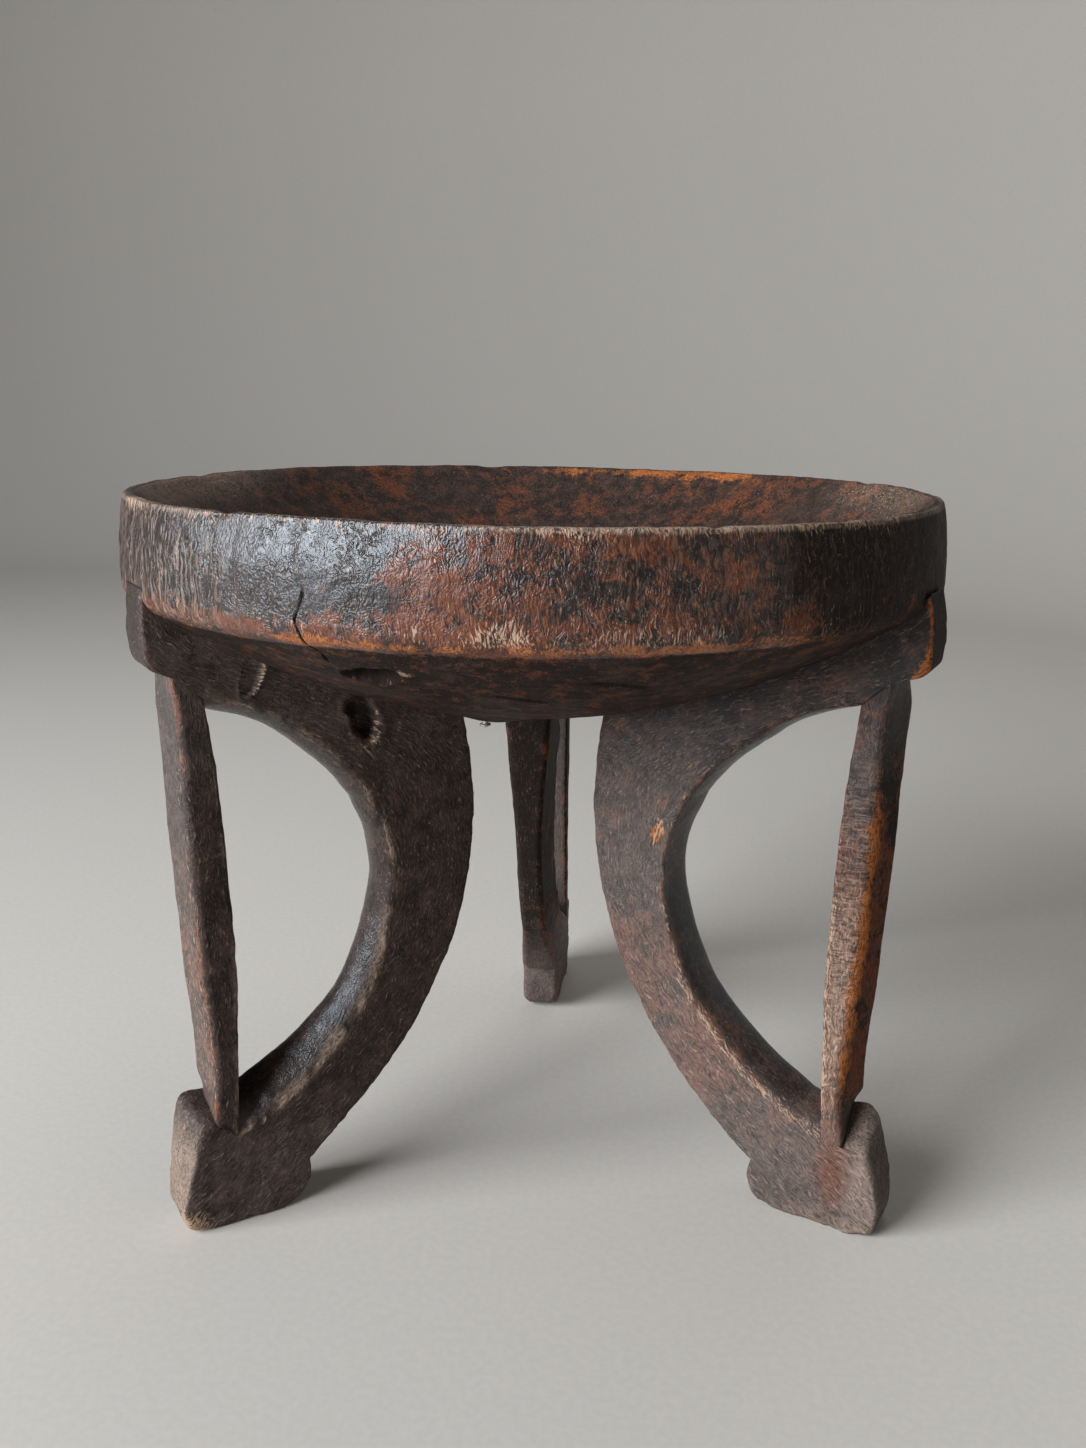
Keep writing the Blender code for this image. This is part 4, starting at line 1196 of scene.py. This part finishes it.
def old_wood(name, mottle, fine, drawn, cut, calm, furrow):
    """Handled old wood: brown skin under a dark crust, worn to red, orange and tan where its paints
    say so, in blotches of the scale mottle. The crust also lays painted shade, and the grey lays
    dust and, in places, painted sheen and light.

    Curly scratches are the level lines of a noise. Hair lines and ribs are noises drawn out
    along the grain, at the scales fine and drawn, the ribs as strong as cut. The fibres stand
    up by furrow, and the bumps fade to the strength calm where the wood is polished."""
    wood = Finish(name)
    red, orange, tan, pale = wood.paints("tint")
    dark, grey, polish, _ = wood.paints("state")
    curly, hairs, ribs, _ = wood.paints("marks")
    place = wood.place()
    blotch = wood.grain(place, mottle, 7.0, 0.68, 0.4)
    speckle = wood.grain(place, 650.0, 2.0, 0.6)
    curl = wood.calc("SINE", wood.times(wood.grain(place, 270.0, 1.0, 0.5, 0.6), 36.0))
    patchy = wood.step(wood.grain(place, 60.0, 2.0, 0.5), 0.38, 0.62)
    curled = wood.times(curly, patchy)
    swirl = wood.node("ShaderNodeTexNoise", {"Vector": place, "Scale": 130.0, "Detail": 1.0})
    course = wood.node("ShaderNodeAttribute", attribute_name="grain").outputs["Vector"]
    sway = {0: swirl.outputs["Color"], 1: (0.005, 0.005, 0.005), 2: course}
    swept = wood.node("ShaderNodeVectorMath", sway, operation="MULTIPLY_ADD").outputs[0]
    fibre = wood.grain(wood.scaled(swept, fine), 1.0, 2.5, 0.6)
    comb = wood.grain(wood.scaled(swept, drawn), 1.0, 2.0, 0.55)
    rib = wood.times(wood.step(comb, 0.48, 0.66), ribs)
    groove = wood.times(wood.step(comb, 0.50, 0.36, 0.0, 0.6 * cut), ribs)
    grit = wood.plus(fibre, 0.65, wood.times(speckle, 0.35))

    def mixed(amount, big, small):
        """A paint plus its share of the two noises, centred on 0."""
        both = wood.plus(grit, small, wood.plus(blotch, big, amount))
        return wood.calc("SUBTRACT", both, 0.5 * (big + small))

    skin = wood.colour(wood.step(mixed(0.5, 1.0, 0.8), 0.30, 0.70), CRUST, BROWN)
    reds = wood.colour(wood.step(grit, 0.36, 0.62), DEEP_RED, RED)
    skin = wood.colour(wood.step(mixed(red, 1.7, 1.0), 0.30, 0.70), skin, reds)
    skin = wood.colour(wood.step(mixed(dark, -1.7, -0.8), 0.48, 0.80), skin, CRUST)
    # Share of the grey, which is dust and, in places, painted sheen and light
    dust_and_light = wood.step(mixed(0.5, 0.5, 1.0), 0.25, 0.75, 0.45, 1.0)
    skin = wood.colour(wood.times(grey, dust_and_light), skin, DUST_AND_SHEEN)
    brushed = wood.step(mixed(0.5, 0.5, 1.7), 0.2, 0.8, 0.15, 1.0)
    skin = wood.colour(wood.times(pale, brushed), skin, PALE)
    oranges = wood.colour(wood.step(grit, 0.34, 0.60), RED, ORANGE)
    skin = wood.colour(wood.step(mixed(orange, 1.2, 1.0), 0.36, 0.84), skin, oranges)
    strands = wood.calc("SUBTRACT", wood.plus(fibre, 2.4, tan), 1.2)
    frayed = wood.step(strands, 0.42, 0.78)
    skin = wood.colour(frayed, skin, TAN)
    broken = wood.plus(fibre, 1.8, wood.calc("SUBTRACT", curl, 0.9))
    crest = wood.times(wood.step(broken, 0.75, 1.15), curled)
    hair = wood.times(wood.step(fibre, 0.58, 0.70), hairs)
    lines = wood.calc("MAXIMUM", wood.times(crest, 0.34), wood.times(hair, 0.62))
    lines = wood.calc("MAXIMUM", lines, wood.times(rib, 0.36 * cut))
    gaps = wood.times(wood.step(fibre, 0.47, 0.33, 0.0, 0.5), hairs)
    skin = wood.colour(wood.calc("MAXIMUM", groove, gaps), skin, CRUST)
    skin = wood.colour(lines, skin, SCRATCH)

    gloss = wood.step(wood.plus(speckle, 0.5, polish), 0.2, 1.25, 0.64, 0.24)
    height = wood.plus(wood.times(curl, curled), 0.13, wood.times(fibre, furrow))
    height = wood.plus(rib, 0.30, wood.plus(speckle, 0.36, height))
    strength = wood.step(polish, 0.65, 0.95, 0.85, calm)
    wood.give(Base_Color=skin, Roughness=wood.plus(frayed, 0.28, gloss),
              Specular_IOR_Level=wood.step(polish, 0.1, 1.0, 0.08, 0.64),
              Specular_Tint=GLOSS_TINT, Normal=wood.bump(height, strength, 0.0008))
    return wood.material


def old_iron():
    """Rubbed iron: grey metal with brown rust in the hollows and fine pits."""
    iron = Finish("old_iron")
    rust = iron.grain(iron.place(), 900.0, 4.0, 0.65)
    iron.give(Base_Color=iron.colour(iron.step(rust, 0.56, 0.72), BARE_IRON, RUST),
              Metallic=iron.step(rust, 0.56, 0.72, 0.5, 0.1),
              Roughness=iron.step(rust, 0.4, 0.7, 0.3, 0.75),
              Normal=iron.bump(rust, 0.4, 0.0002))
    return iron.material


def studio_floor():
    """Pale paper floor that rises into a round wall: flat to a radius, then a quarter circle.
    Its middle lies towards the key lamp, which stands well inside the wall."""
    flat_rows, bend_rows, wall_rows = FLOOR_ROWS
    turn = np.linspace(0, math.pi / 2, bend_rows)
    rho = np.concatenate([np.linspace(0.02, FLOOR_FLAT, flat_rows + 1)[:-1],
                          FLOOR_FLAT + FLOOR_BEND * np.sin(turn),
                          np.full(wall_rows, FLOOR_FLAT + FLOOR_BEND)])[:, None]
    level = np.concatenate([np.zeros(flat_rows), FLOOR_BEND * (1 - np.cos(turn)),
                            FLOOR_BEND + np.linspace(0.2, FLOOR_WALL, wall_rows)])[:, None]
    phi = np.linspace(0, 2 * math.pi, FLOOR_COLUMNS, endpoint=False)[None, :]
    points = np.stack([FLOOR_MIDDLE[0] + rho * np.cos(phi), FLOOR_MIDDLE[1] + rho * np.sin(phi),
                       level + 0 * phi], axis=-1)
    mesh = bpy.data.meshes.new("paper_floor")
    faces = grid_quads(len(rho), FLOOR_COLUMNS).tolist() + [list(range(FLOOR_COLUMNS))]
    mesh.from_pydata(points.reshape(-1, 3).tolist(), [], faces)
    mesh.shade_smooth()
    floor = bpy.data.objects.new("paper_floor", mesh)
    bpy.context.scene.collection.objects.link(floor)
    paper = Finish("pale_paper")
    tone = paper.step(paper.grain(paper.place(), 300.0, 3.0, 0.5), 0.3, 0.7)
    paper.give(Base_Color=paper.colour(tone, *PAPER_TONES), Roughness=PAPER_ROUGHNESS)
    mesh.materials.append(paper.material)


def soft_lamp(name, place, target, size, spread, power, colour):
    """Square soft light that faces a target, its beam as wide as the spread in degrees."""
    lamp = bpy.data.lights.new(name, "AREA")
    lamp.size = size
    lamp.spread = math.radians(spread)
    lamp.energy = power
    lamp.color = colour
    obj = bpy.data.objects.new(name, lamp)
    obj.location = place
    away = np.array(place) - np.array(target)
    obj.rotation_euler = Vector(away).to_track_quat("Z", "Y").to_euler()
    bpy.context.scene.collection.objects.link(obj)


def studio_light():
    """Large soft key from the left front, a faint fill, and a dim even sky."""
    soft_lamp("key", *KEY_LAMP)
    soft_lamp("top", *TOP_LAMP)
    world = bpy.data.worlds.new("studio")
    world.use_nodes = True
    sky = world.node_tree.nodes["Background"]
    sky.inputs["Color"].default_value = SKY_COLOUR
    sky.inputs["Strength"].default_value = SKY_STRENGTH
    bpy.context.scene.world = world


def photo_camera():
    """Camera at the place and angle of the photograph."""
    camera = bpy.data.cameras.new("photo_camera")
    camera.sensor_fit = "VERTICAL"
    camera.sensor_height = CAMERA_FILM
    camera.lens = CAMERA_LENS
    obj = bpy.data.objects.new("photo_camera", camera)
    placed = np.eye(4)
    placed[:3, :3] = np.stack([CAMERA_RIGHT, CAMERA_UP, CAMERA_BACK], axis=1)
    placed[:3, 3] = CAMERA_PLACE
    obj.matrix_world = Matrix(placed.tolist())
    bpy.context.scene.collection.objects.link(obj)
    bpy.context.scene.camera = obj


def dress(piece, node, material):
    """Give a piece its material, and let it stand for its solid on the stool's one body."""
    piece.data.materials.append(material)
    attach(piece, "root")
    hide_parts(node)


def main():
    """Camera, studio and the stool's pieces."""
    bpy.context.scene.view_settings.view_transform = "Standard"
    photo_camera()
    studio_light()
    studio_floor()
    seat_wood = old_wood("seat_patina", mottle=135.0, fine=(1450, 1450, 210), drawn=(800, 800, 50),
                         cut=1.6, calm=0.85, furrow=0.44)
    leg_wood = old_wood("leg_patina", mottle=95.0, fine=(1350, 1350, 215), drawn=(170, 170, 1150),
                        cut=1.0, calm=0.30, furrow=0.62)
    dress(seat_piece(), "seat_dish", seat_wood)
    dress(nail_piece(), "seat_pin", old_iron())
    for name in LEGS:
        for piece, node in leg_pieces(name):
            dress(piece, node, leg_wood)


main()
